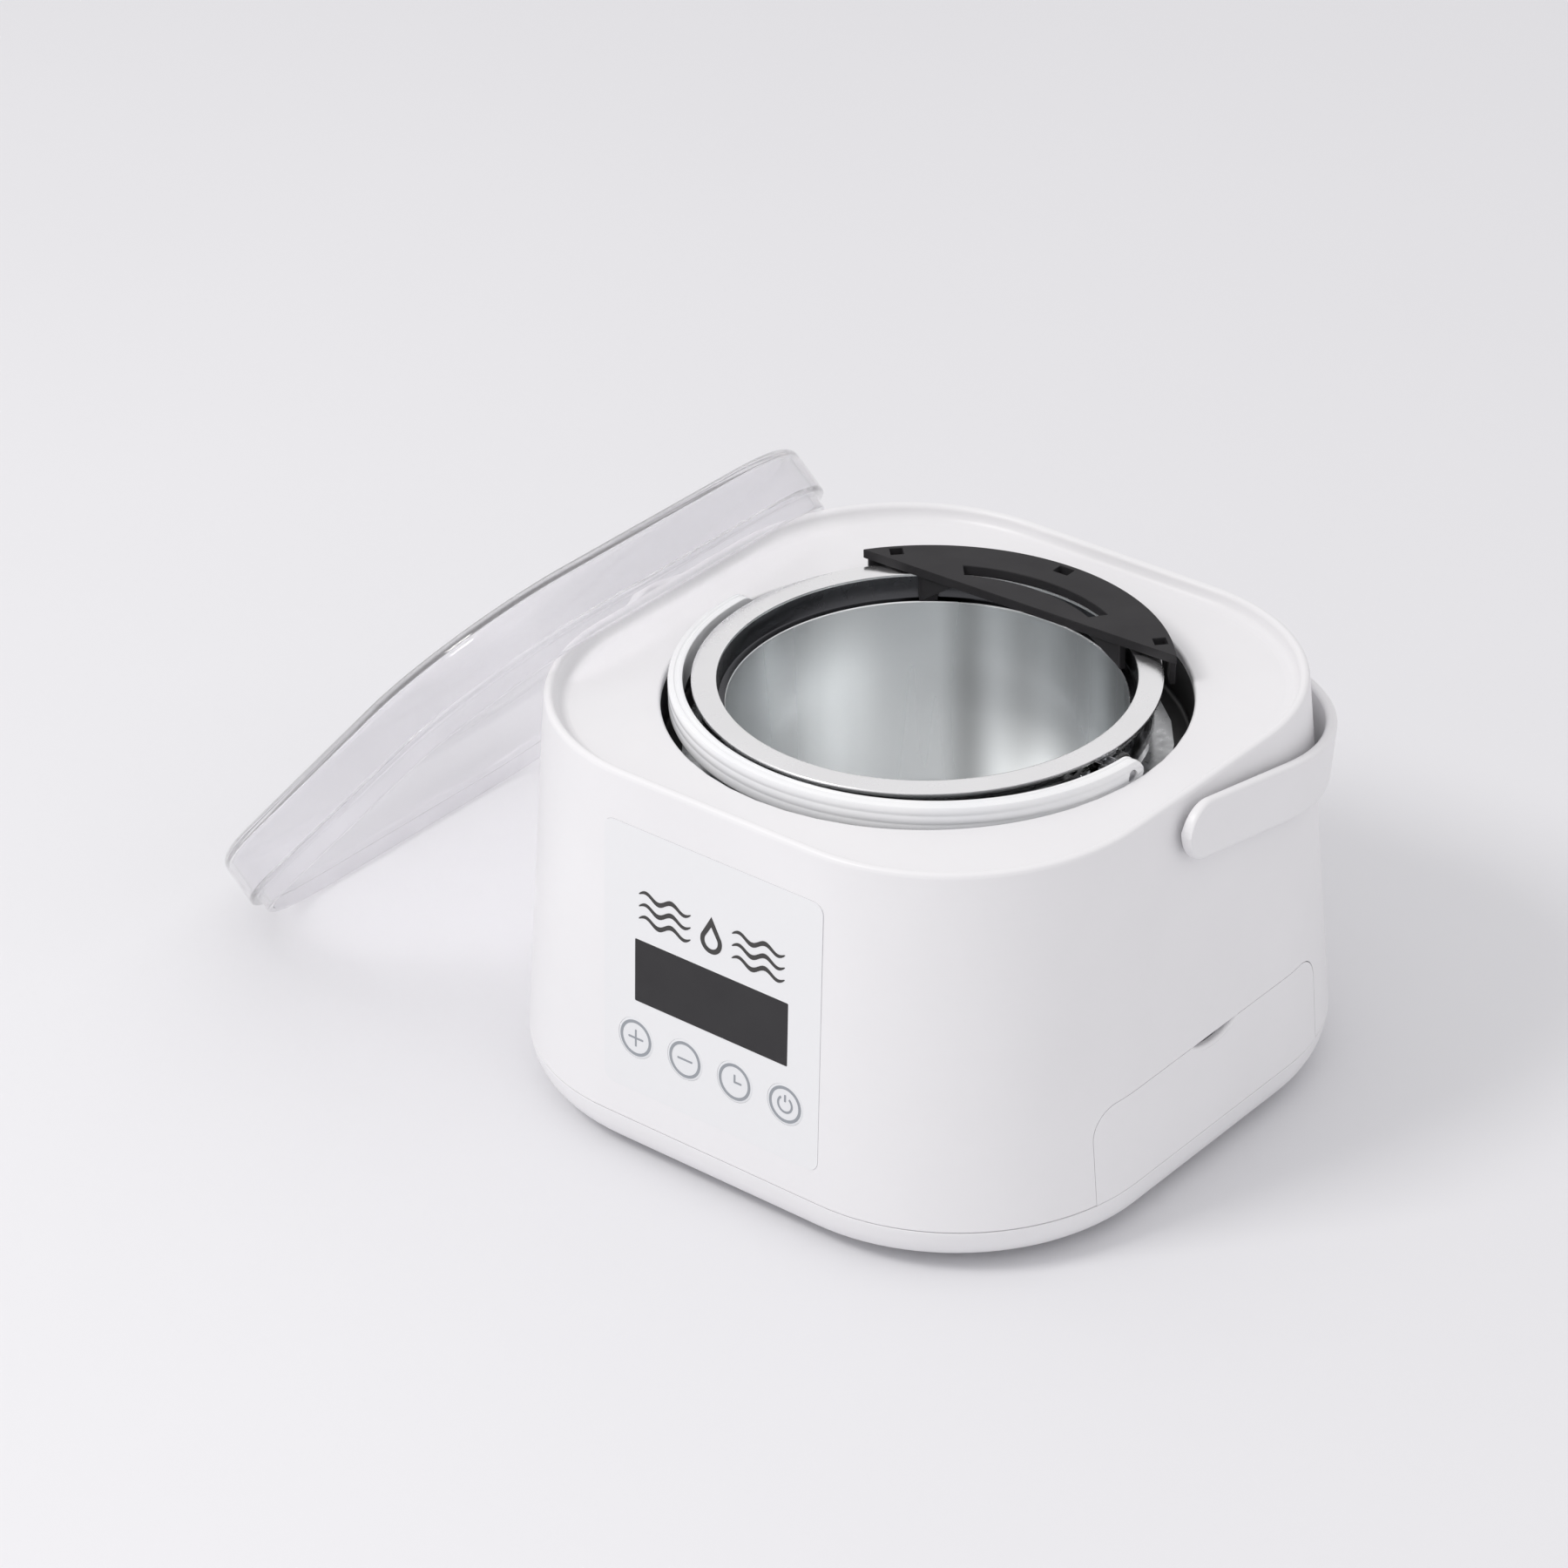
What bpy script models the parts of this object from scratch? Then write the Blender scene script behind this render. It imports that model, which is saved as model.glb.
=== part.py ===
"""Paraffin wax bath: a rounded-square heater with a lift-out pot, a clear lid that leans on its side,
a carry handle, a storage drawer and a four-key control panel.

Everything is modelled about the centre of the housing's footprint, X to the right along the front,
Y to the back, Z up, and hangs from one empty that moves it so that the origin is under the centre
of the whole object's box.
"""

import math

import bmesh
import bpy
from mathutils import Matrix, Vector

MM = 0.001
GAP = 0.3 * MM

# Housing
BODY_AT = Vector((51.35, -2.162, 0)) * MM
SEAM_Z = 13.0 * MM
RIM_Z = 109.5 * MM
DECK_Z = 105.2 * MM
SEAM_HALF_X = 90.0 * MM
DEEPER_THAN_WIDE = -2.0 * MM
DRAFT = 0.0568
CORNER_R = 55.0 * MM
WALL = 2.4 * MM
RIM_WIDTH = 2.6 * MM
OPENING_R = 66.5 * MM
BASE_Z = 2.8 * MM
FLOOR_Z = 5.3 * MM

# Heating stack
LINER_Z = 90.6 * MM
CUP_R = 56.0 * MM
CUP_WALL = 1.4 * MM
CUP_Z = 42.0 * MM
SHIELD_Z = 36.2 * MM

# Pot
POT_YAW = math.radians(-2.8)
POT_R = 51.4 * MM
POT_WALL = 1.2 * MM
POT_Z = 44.0 * MM
NECK_R = 53.6 * MM
NECK_Z = 103.4 * MM
FLANGE_R = 58.7 * MM
FLANGE_Z = 110.7 * MM
FLANGE_DOME = 0.5 * MM
BAIL_Z = 105.6 * MM
BAIL_INNER_X = 62.0 * MM
BAIL_INNER_Y = 59.3 * MM
BAIL_THICK = 3.8 * MM
BAIL_HALF_HEIGHT = 4.0 * MM
BAIL_BORE_R = 1.6 * MM

# Spatula rest
REST_R = 62.0 * MM
REST_YAW = math.radians(4.5)
REST_CHORD_Y = 38.3 * MM
REST_Z = 111.0 * MM
REST_THICK = 2.6 * MM

# Lid
LID_HALF_X = 81.0 * MM
LID_CORNER_R = 45.4 * MM
LID_TILT = math.radians(47.55)
LID_SKIRT = 15.3 * MM
LID_PLUG = 3.95 * MM
LID_PLUG_INSET = 2.4 * MM
LID_WALL = 2.0 * MM
LID_X = -139.6 * MM
LID_Y = -4.6 * MM

# Carry handle
HANDLE_Y = -4.9 * MM
HANDLE_Z = 100.2 * MM
HANDLE_DROP = math.radians(10.35)
HANDLE_HALF_X = 89.7 * MM
HANDLE_REACH = 97.6 * MM
HANDLE_CORNER_R = 62.4 * MM
HANDLE_HALF_HEIGHT = 7.75 * MM
HANDLE_THICK = 3.0 * MM
HANDLE_BORE_R = 2.0 * MM

# Drawer
DRAWER_HALF_Y = 46.7 * MM
DRAWER_TOP_Z = 39.0 * MM
DRAWER_CORNER_R = 8.0 * MM
NOTCH_R = 17.4 * MM
NOTCH_Y = 1.0 * MM
NOTCH_LOW_Z = 36.5 * MM
TRAY_X = (-28.0 * MM, 85.0 * MM)
TRAY_HALF_Y = 41.5 * MM
TRAY_Z = (16.6 * MM, 35.0 * MM)

# Control panel, in a frame whose XZ plane is the front wall's outer face and whose Y points inwards
PANEL_Z = 57.0 * MM
LABEL_HALF_X = 34.2 * MM
LABEL_Z = (-35.0 * MM, 39.4 * MM)
WINDOW_HALF_X = 24.2 * MM
WINDOW_Z = (-8.8 * MM, 8.7 * MM)
KEY_ROW_Z = -19.6 * MM
KEY_PITCH = 15.9 * MM
KEY_R = 5.6 * MM
KEY_NAMES = ("key_plus", "key_minus", "key_timer", "key_power")

SIDE_STEPS = 6
CORNER_STEPS = 10
ROUND_STEPS = 48
HIDDEN_STEPS = 32


# ---------------------------------------------------------------- scene and materials


def clear_scene():
    for obj in list(bpy.data.objects):
        bpy.data.objects.remove(obj, do_unlink=True)


def new_collection(name):
    group = bpy.data.collections.new(name)
    bpy.context.scene.collection.children.link(group)
    return group


def finish(name, colour, roughness, metallic=0.0, transmission=0.0):
    mat = bpy.data.materials.new(name)
    mat.use_nodes = True
    shader = mat.node_tree.nodes["Principled BSDF"]
    shader.inputs["Base Color"].default_value = (*colour, 1.0)
    shader.inputs["Roughness"].default_value = roughness
    shader.inputs["Metallic"].default_value = metallic
    shader.inputs["Transmission Weight"].default_value = transmission
    return mat


clear_scene()
PARTS = new_collection("paraffin_wax_bath")
CUTTERS = new_collection("cutters")
CUTTERS.hide_render = True

WHITE = finish("white_plastic", (0.86, 0.86, 0.87), 0.35)
BLACK = finish("black_plastic", (0.015, 0.015, 0.016), 0.45)
CLEAR = finish("clear_plastic", (0.92, 0.93, 0.95), 0.08, transmission=0.9)
STEEL = finish("pot_steel", (0.62, 0.64, 0.66), 0.22, metallic=1.0)
ALUMINIUM = finish("cup_aluminium", (0.75, 0.76, 0.77), 0.35, metallic=1.0)
LABEL = finish("label_film", (0.84, 0.86, 0.88), 0.3)
GLASS = finish("dark_window", (0.03, 0.03, 0.035), 0.12)
BOARD = finish("circuit_board", (0.03, 0.22, 0.10), 0.5)
RUBBER = finish("grey_rubber", (0.12, 0.12, 0.12), 0.8)
ZINC = finish("zinc_screw", (0.55, 0.55, 0.56), 0.35, metallic=1.0)
WRAP = finish("glass_fibre", (0.78, 0.74, 0.64), 0.9)
MICA = finish("mica_band", (0.45, 0.33, 0.20), 0.7)
BRASS = finish("brass_pin", (0.72, 0.56, 0.26), 0.3, metallic=1.0)
WIRE = finish("wire_insulation", (0.55, 0.04, 0.03), 0.5)


# ---------------------------------------------------------------- building blocks


def empty(name, parent=None, at=(0, 0, 0), turn=(0, 0, 0)):
    obj = bpy.data.objects.new(name, None)
    obj.empty_display_size = 0.01
    PARTS.objects.link(obj)
    obj.parent = parent
    obj.location = at
    obj.rotation_euler = turn
    return obj


def add(name, bm, mat, parent, at=(0, 0, 0), turn=(0, 0, 0)):
    """An object from a bmesh: a part when it has a material, otherwise a cutter."""
    bmesh.ops.recalc_face_normals(bm, faces=bm.faces)
    mesh = bpy.data.meshes.new(name)
    bm.to_mesh(mesh)
    bm.free()
    obj = bpy.data.objects.new(name, mesh)
    (PARTS if mat else CUTTERS).objects.link(obj)
    if mat:
        mesh.materials.append(mat)
    else:
        obj.hide_render = True
        obj.display_type = "WIRE"
    obj.parent = parent
    obj.location = at
    obj.rotation_euler = turn
    return obj


def boolean(target, other, operation="DIFFERENCE"):
    mod = target.modifiers.new(other.name, "BOOLEAN")
    mod.operation = operation
    mod.solver = "EXACT"
    mod.object = other
    return target


def bevelled(obj, width, segments=2, angle=40):
    mod = obj.modifiers.new("edge_rounding", "BEVEL")
    mod.width = width
    mod.segments = segments
    mod.limit_method = "ANGLE"
    mod.angle_limit = math.radians(angle)
    return obj


def smooth(obj, angle=35):
    obj.data.polygons.foreach_set("use_smooth", [True] * len(obj.data.polygons))
    obj.data.set_sharp_from_angle(angle=math.radians(angle))
    return obj


def box(name, low, high, mat, parent, at=(0, 0, 0), turn=(0, 0, 0)):
    low, high = Vector(low), Vector(high)
    bm = bmesh.new()
    bmesh.ops.create_cube(bm, size=1.0)
    bmesh.ops.transform(
        bm,
        matrix=Matrix.Translation((low + high) / 2) @ Matrix.Diagonal((*(high - low), 1.0)),
        verts=bm.verts,
    )
    return add(name, bm, mat, parent, at, turn)


def rod(name, radius, start, end, mat, parent, steps=24, tip_radius=None):
    """A cylinder or a cone from start to end."""
    start, end = Vector(start), Vector(end)
    along = end - start
    bm = bmesh.new()
    bmesh.ops.create_cone(
        bm,
        cap_ends=True,
        segments=steps,
        radius1=radius,
        radius2=radius if tip_radius is None else tip_radius,
        depth=along.length,
        matrix=Matrix.Translation((start + end) / 2) @ along.to_track_quat("Z", "Y").to_matrix().to_4x4(),
    )
    return smooth(add(name, bm, mat, parent))


def turned(name, profile, mat, parent, at=(0, 0, 0), closed=False, steps=ROUND_STEPS):
    """A profile in the XZ plane, running down its outer side, turned about Z."""
    mesh = bpy.data.meshes.new(name)
    count = len(profile)
    edges = [(i, i + 1) for i in range(count - 1)] + ([(count - 1, 0)] if closed else [])
    mesh.from_pydata([(r, 0, z) for r, z in profile], edges, [])
    mesh.materials.append(mat)
    obj = bpy.data.objects.new(name, mesh)
    PARTS.objects.link(obj)
    obj.parent = parent
    obj.location = at
    mod = obj.modifiers.new("turn", "SCREW")
    mod.steps = steps
    mod.render_steps = steps
    mod.use_merge_vertices = True
    mod.merge_threshold = 0.00001
    mod.use_smooth_shade = True
    return obj


def arc(centre, radius, start, end, steps, squash=1.0):
    """Points on an arc from one angle to another, in degrees."""
    angles = [math.radians(start + (end - start) * i / steps) for i in range(steps + 1)]
    return [
        (centre[0] + radius * math.cos(a), centre[1] + radius * squash * math.sin(a)) for a in angles
    ]


def rounded_rectangle(half_x, half_z, radius, steps=5, centre=(0, 0)):
    points = []
    for start, (sx, sz) in zip((0, 90, 180, 270), ((1, 1), (-1, 1), (-1, -1), (1, -1))):
        middle = (centre[0] + sx * (half_x - radius), centre[1] + sz * (half_z - radius))
        points += arc(middle, radius, start, start + 90, steps)
    return points


def plate(name, outline, y_low, y_high, mat, parent, at=(0, 0, 0), turn=(0, 0, 0)):
    """An outline in the XZ plane, extruded along Y."""
    bm = bmesh.new()
    face = bm.faces.new([bm.verts.new((x, y_low, z)) for x, z in outline])
    grown = bmesh.ops.extrude_face_region(bm, geom=[face])["geom"]
    moved = [v for v in grown if isinstance(v, bmesh.types.BMVert)]
    bmesh.ops.translate(bm, verts=moved, vec=(0, y_high - y_low, 0))
    return add(name, bm, mat, parent, at, turn)


def square_outline(half_x, radius=CORNER_R, half_y=None):
    """A rounded square seen from above, with points along its sides, anticlockwise from +X."""
    half_y = half_x + DEEPER_THAN_WIDE if half_y is None else half_y
    corners = [
        arc((sx * (half_x - radius), sy * (half_y - radius)), radius, start, start + 90, CORNER_STEPS)
        for start, (sx, sy) in zip((0, 90, 180, 270), ((1, 1), (-1, 1), (-1, -1), (1, -1)))
    ]
    points = []
    for corner, following in zip(corners, corners[1:] + corners[:1]):
        points += corner
        start, end = Vector(corner[-1]), Vector(following[0])
        points += [tuple(start.lerp(end, i / SIDE_STEPS)) for i in range(1, SIDE_STEPS)]
    return points


def circle_outline(radius):
    """A circle whose points match a rounded square's, direction for direction."""
    around = square_outline(SEAM_HALF_X)
    return [(radius * x / math.hypot(x, y), radius * y / math.hypot(x, y)) for x, y in around]


def loft(name, sections, mat, parent, ring=False, at=(0, 0, 0), turn=(0, 0, 0)):
    """A skin through outlines at given heights: a ring's last joins its first, else both ends are capped."""
    bm = bmesh.new()
    rows = [[bm.verts.new((x, y, z)) for x, y in outline] for outline, z in sections]
    pairs = list(zip(rows, rows[1:] + (rows[:1] if ring else [])))
    for lower, upper in pairs:
        for i in range(len(lower)):
            j = (i + 1) % len(lower)
            bm.faces.new((lower[i], lower[j], upper[j], upper[i]))
    if not ring:
        bm.faces.new(rows[0])
        bm.faces.new(rows[-1])
    return smooth(add(name, bm, mat, parent, at, turn))


def half_width(z):
    """The housing's outer half width at a height."""
    return SEAM_HALF_X - DRAFT * (z - SEAM_Z)


def strap(name, path, half_heights, thickness, mat, parent, at=(0, 0, 0), turn=(0, 0, 0)):
    """A flat strap on edge along a plan path, with rounded edges and a half height at each point."""
    bm = bmesh.new()
    rows = []
    last = len(path) - 1
    for i, (point, half) in enumerate(zip(path, half_heights)):
        ahead = Vector(path[min(i + 1, last)]) - Vector(path[max(i - 1, 0)])
        outwards = Vector((ahead.y, -ahead.x)).normalized()
        radius = min(1.0 * MM, half * 0.6, thickness * 0.4)
        section = rounded_rectangle(thickness / 2, half, radius, 2)
        corners = [(point[0] + outwards.x * d, point[1] + outwards.y * d, z) for d, z in section]
        rows.append([bm.verts.new(corner) for corner in corners])
    for first, second in zip(rows, rows[1:]):
        for i in range(len(first)):
            j = (i + 1) % len(first)
            bm.faces.new((first[i], first[j], second[j], second[i]))
    bm.faces.new(rows[0])
    bm.faces.new(rows[-1])
    return smooth(add(name, bm, mat, parent, at, turn), 50)


def pill_end(length, half, steps=4):
    """(distance past the pivot, half height) from a strap's tip to where its full height starts."""
    return [(length * math.cos(a), max(half * math.sin(a), 0.12 * half))
            for a in (math.radians(90 * i / steps) for i in range(steps))]


def lead(name, points, radius, mat, parent):
    """A bundled wire through points."""
    curve = bpy.data.curves.new(name, "CURVE")
    curve.dimensions = "3D"
    curve.bevel_depth = radius
    curve.bevel_resolution = 1
    curve.use_fill_caps = True
    curve.resolution_u = 4
    spline = curve.splines.new("BEZIER")
    spline.bezier_points.add(len(points) - 1)
    for knot, point in zip(spline.bezier_points, points):
        knot.co = point
        knot.handle_left_type = "AUTO"
        knot.handle_right_type = "AUTO"
    curve.materials.append(mat)
    obj = bpy.data.objects.new(name, curve)
    PARTS.objects.link(obj)
    obj.parent = parent
    return obj


# ---------------------------------------------------------------- housing

SCREW_SPOTS = [(sx * 58 * MM, sy * 56 * MM) for sx in (-1, 1) for sy in (-1, 1)]
FOOT_SPOTS = [(sx * 63 * MM, sy * 33 * MM) for sx in (-1, 1) for sy in (-1, 1)]
PLACES = ("front_left", "rear_left", "front_right", "rear_right")
INLET_X = -22.0 * MM
INLET_Z = 27.0 * MM


def shell_sections():
    """The housing's cross-section as outlines from its lower edge over the rim to the opening and back."""
    top = half_width(RIM_Z)
    rim = [(0.0, 1.3), (0.35, 0.4), (1.2, 0.0), (2.0, 0.2), (2.5, 0.9), (2.7, 2.0), (3.3, 3.2), (4.4, 4.0),
           (6.2, 4.3)]
    inside = top - WALL
    sections = [(square_outline(half_width(z)), z) for z in (SEAM_Z + GAP, 45 * MM, 78 * MM)]
    sections += [(square_outline(top - inset * MM, CORNER_R - inset * MM), RIM_Z - drop * MM)
                 for inset, drop in rim]
    sections += [
        (circle_outline(OPENING_R + 0.6 * MM), DECK_Z),
        (circle_outline(OPENING_R), DECK_Z - 0.6 * MM),
        (circle_outline(OPENING_R), DECK_Z - WALL),
        (square_outline(inside - 1.5 * MM), DECK_Z - WALL),
        (square_outline(inside), DECK_Z - WALL - 1.5 * MM),
    ]
    sections += [(square_outline(half_width(z) - WALL), z) for z in (78 * MM, 45 * MM, SEAM_Z + GAP)]
    return sections


def panel_frame(parent):
    lean = -math.atan(DRAFT)
    face_y = -(half_width(PANEL_Z) + DEEPER_THAN_WIDE)
    return empty("panel_frame", parent, (0, face_y, PANEL_Z), (lean, 0, 0))


def make_shell(body, panel):
    shell = loft("outer_shell", shell_sections(), WHITE, body, ring=True)
    for place, (x, y) in zip(PLACES, SCREW_SPOTS):
        post = rod("post_" + place, 4.2 * MM, (x, y, 9.4 * MM), (x, y, 34 * MM), None, body)
        boolean(shell, post, "UNION")
        turn = math.atan2(y, x)
        rib = box("rib_" + place, (2 * MM, -1.1 * MM, 17 * MM), (20.6 * MM, 1.1 * MM, 33 * MM), None, body,
                  (x, y, 0), (0, 0, math.copysign(math.radians(45), turn) if x > 0
                              else math.copysign(math.radians(135), turn)))
        boolean(shell, rib, "UNION")
        boolean(shell, rod("pilot_" + place, 1.8 * MM, (x, y, 8 * MM), (x, y, 30 * MM), None, body))
    centre_z = (LABEL_Z[0] + LABEL_Z[1]) / 2
    half_z = (LABEL_Z[1] - LABEL_Z[0]) / 2
    pocket = rounded_rectangle(LABEL_HALF_X + GAP, half_z + GAP, 3.3 * MM, 4, (0, centre_z))
    boolean(shell, plate("label_pocket", pocket, -3 * MM, 0.7 * MM, None, panel))
    low, high = Vector((-30.5, -1, -27)) * MM, Vector((30.5, 6, 14)) * MM
    boolean(shell, box("panel_opening", low, high, None, panel))
    drawer_hole = drawer_outline(GAP, SEAM_Z - 8 * MM)
    place, turn = (60 * MM, 0, 0), (0, 0, -math.pi / 2)
    boolean(shell, plate("drawer_hole", drawer_hole, 0, 40 * MM, None, body, place, turn))
    inlet_hole = rounded_rectangle(9.3 * MM, 5.3 * MM, 5.2 * MM, 5)
    place = (INLET_X, 85 * MM, INLET_Z)
    boolean(shell, plate("inlet_hole", inlet_hole, -20 * MM, 20 * MM, None, body, place))
    ends = [(x * MM, HANDLE_Y, HANDLE_Z) for x in (-95, 95)]
    return boolean(shell, rod("pin_hole", HANDLE_BORE_R, *ends, None, body))


def make_base(body):
    rounding = [(8.0, BASE_Z), (4.4, 3.5 * MM), (2.2, 5.2 * MM), (0.8, 8.0 * MM), (0.2, 11.0 * MM),
                (0.0, SEAM_Z)]
    inside = [(2.8, SEAM_Z), (2.8, 16 * MM), (4.8, 16 * MM), (5.2, 7.0 * MM), (6.6, FLOOR_Z)]
    sections = [(square_outline(SEAM_HALF_X - inset * MM), z) for inset, z in rounding + inside]
    base = loft("base_pan", sections, WHITE, body)
    for place, (x, y) in zip(PLACES, SCREW_SPOTS):
        boolean(base, rod("boss_" + place, 5.0 * MM, (x, y, 4 * MM), (x, y, 9 * MM), None, body), "UNION")
        boolean(base, rod("sink_" + place, 3.5 * MM, (x, y, 0), (x, y, 5.6 * MM), None, body))
        boolean(base, rod("bore_" + place, 1.8 * MM, (x, y, 2 * MM), (x, y, 12 * MM), None, body))
    return base


def make_fasteners(body):
    for place, (x, y) in zip(PLACES, FOOT_SPOTS):
        profile = [(0, 2.5 * MM), (7.6 * MM, 2.5 * MM), (8 * MM, 2.1 * MM), (7.4 * MM, 0.3 * MM),
                   (6.9 * MM, 0), (0, 0)]
        turned("foot_" + place, profile, RUBBER, body, (x, y, 0), steps=20)
    for place, (x, y) in zip(PLACES, SCREW_SPOTS):
        profile = [(0, 28 * MM), (0.4 * MM, 28 * MM), (1.5 * MM, 26 * MM), (1.5 * MM, 5.2 * MM),
                   (3.1 * MM, 5.2 * MM), (3.1 * MM, 3.7 * MM), (2.4 * MM, 3.1 * MM), (0, 3.1 * MM)]
        screw = turned("base_screw_" + place, profile, ZINC, body, (x, y, 0), steps=12)
        for across, deep in ((2.0 * MM, 0.35 * MM), (0.35 * MM, 2.0 * MM)):
            low, high = (-across, -deep, 2 * MM), (across, deep, 4.1 * MM)
            boolean(screw, box(f"{place}_slot_{across:.4f}", low, high, None, body, (x, y, 0)))


# ---------------------------------------------------------------- heating stack


def make_heating(body):
    profile = [(68.2 * MM, 102.4 * MM), (68.2 * MM, 88.6 * MM), (57.4 * MM, 88.6 * MM), (57.4 * MM, LINER_Z),
               (66.6 * MM, LINER_Z), (66.6 * MM, 102.4 * MM)]
    turned("well_liner", profile, BLACK, body, closed=True)
    inner = CUP_R - CUP_WALL
    flange_z = LINER_Z + GAP
    turned("heating_cup",
           [(0, CUP_Z + CUP_WALL)] + arc((inner - 5 * MM, CUP_Z + CUP_WALL + 5 * MM), 5 * MM, -90, 0, 2)
           + [(inner, flange_z + 1.2 * MM), (61.6 * MM, flange_z + 1.2 * MM), (61.6 * MM, flange_z),
              (CUP_R, flange_z)]
           + arc((CUP_R - 6 * MM, CUP_Z + 6 * MM), 6 * MM, 0, -90, 2) + [(0, CUP_Z)],
           ALUMINIUM, body, steps=HIDDEN_STEPS)
    turned("heater_band",
           [(58 * MM, 84 * MM), (58 * MM, 50 * MM), (56.4 * MM, 50 * MM), (56.4 * MM, 84 * MM)],
           MICA, body, closed=True, steps=HIDDEN_STEPS)
    turned("insulation_sleeve",
           [(61.8 * MM, 87 * MM), (61.8 * MM, 46 * MM), (58.4 * MM, 46 * MM), (58.4 * MM, 87 * MM)],
           WRAP, body, closed=True, steps=HIDDEN_STEPS)
    turned("heat_shield", [(60 * MM, SHIELD_Z + 0.8 * MM), (60 * MM, SHIELD_Z), (3 * MM, SHIELD_Z),
                           (3 * MM, SHIELD_Z + 0.8 * MM)], ALUMINIUM, body, closed=True, steps=HIDDEN_STEPS)
    turned("temperature_sensor", [(0, 41.7 * MM), (6 * MM, 41.7 * MM), (6 * MM, 38 * MM), (0, 38 * MM)],
           BLACK, body, steps=24)
    fuse_x = 64.2 * MM * math.cos(math.radians(225))
    rod("thermal_fuse", 2 * MM, (fuse_x, fuse_x, 58 * MM), (fuse_x, fuse_x, 70 * MM), ZINC, body, 16)


# ---------------------------------------------------------------- electrics


def make_electrics(body):
    box("power_board", (-76 * MM, -40 * MM, 9.5 * MM), (-36 * MM, 40 * MM, 11.1 * MM), BOARD, body)
    low, high = Vector((-72, -34, 11.4)) * MM, Vector((-57, -15, 27)) * MM
    bevelled(box("relay", low, high, BLACK, body), 0.6 * MM)
    low, high = Vector((-62, 4, 11.4)) * MM, Vector((-40, 24, 29)) * MM
    bevelled(box("transformer", low, high, MICA, body), 0.8 * MM)
    rod("capacitor", 6 * MM, (-46 * MM, -22 * MM, 11.4 * MM), (-46 * MM, -22 * MM, 30 * MM), BLACK, body, 24)
    outline = rounded_rectangle(9 * MM, 5 * MM, 4.9 * MM, 5)
    flange = rounded_rectangle(11 * MM, 7 * MM, 6.8 * MM, 5)
    recess = rounded_rectangle(7.4 * MM, 3.6 * MM, 3.5 * MM, 5)
    place = (INLET_X, 0, INLET_Z)
    inlet = plate("power_inlet", outline, 68 * MM, 88.5 * MM, BLACK, body, place)
    boolean(inlet, plate("inlet_flange", flange, 87.9 * MM, 89.3 * MM, None, body, place), "UNION")
    boolean(inlet, plate("inlet_recess", recess, 74 * MM, 92 * MM, None, body, place))
    for side, x in (("left", INLET_X - 3.3 * MM), ("right", INLET_X + 3.3 * MM)):
        ends = [(x, y * MM, INLET_Z) for y in (60, 80)]
        boolean(inlet, rod("inlet_bore_" + side, 1.5 * MM, *ends, None, body))
        rod("inlet_pin_" + side, 1.2 * MM, (x, 66 * MM, INLET_Z), (x, 84.5 * MM, INLET_Z), BRASS, body, 16)
    wires = {
        "heater_lead_front": [(-56.6, -8, 49.2), (-56.8, -8, 44), (-64, -9, 38), (-70, -9, 30),
                              (-74, -10, 20), (-74, -8, 11.6)],
        "heater_lead_rear": [(-56.6, 8, 49.2), (-56.8, 8, 44), (-64, 9, 38), (-70, 9, 30), (-72, 12, 20),
                             (-72, 12, 11.6)],
        "inlet_lead": [(-22, 67.4, 27), (-26, 60, 24), (-40, 52, 18), (-52, 44, 14), (-54, 36, 11.8)],
        "control_lead": [(-44, -36, 11.8), (-44, -44, 14), (-40, -58, 22), (-28, -68, 32), (-24, -74.5, 36)],
    }
    for name, route in wires.items():
        lead(name, [Vector(point) * MM for point in route], 0.85 * MM, WIRE, body)


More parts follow.
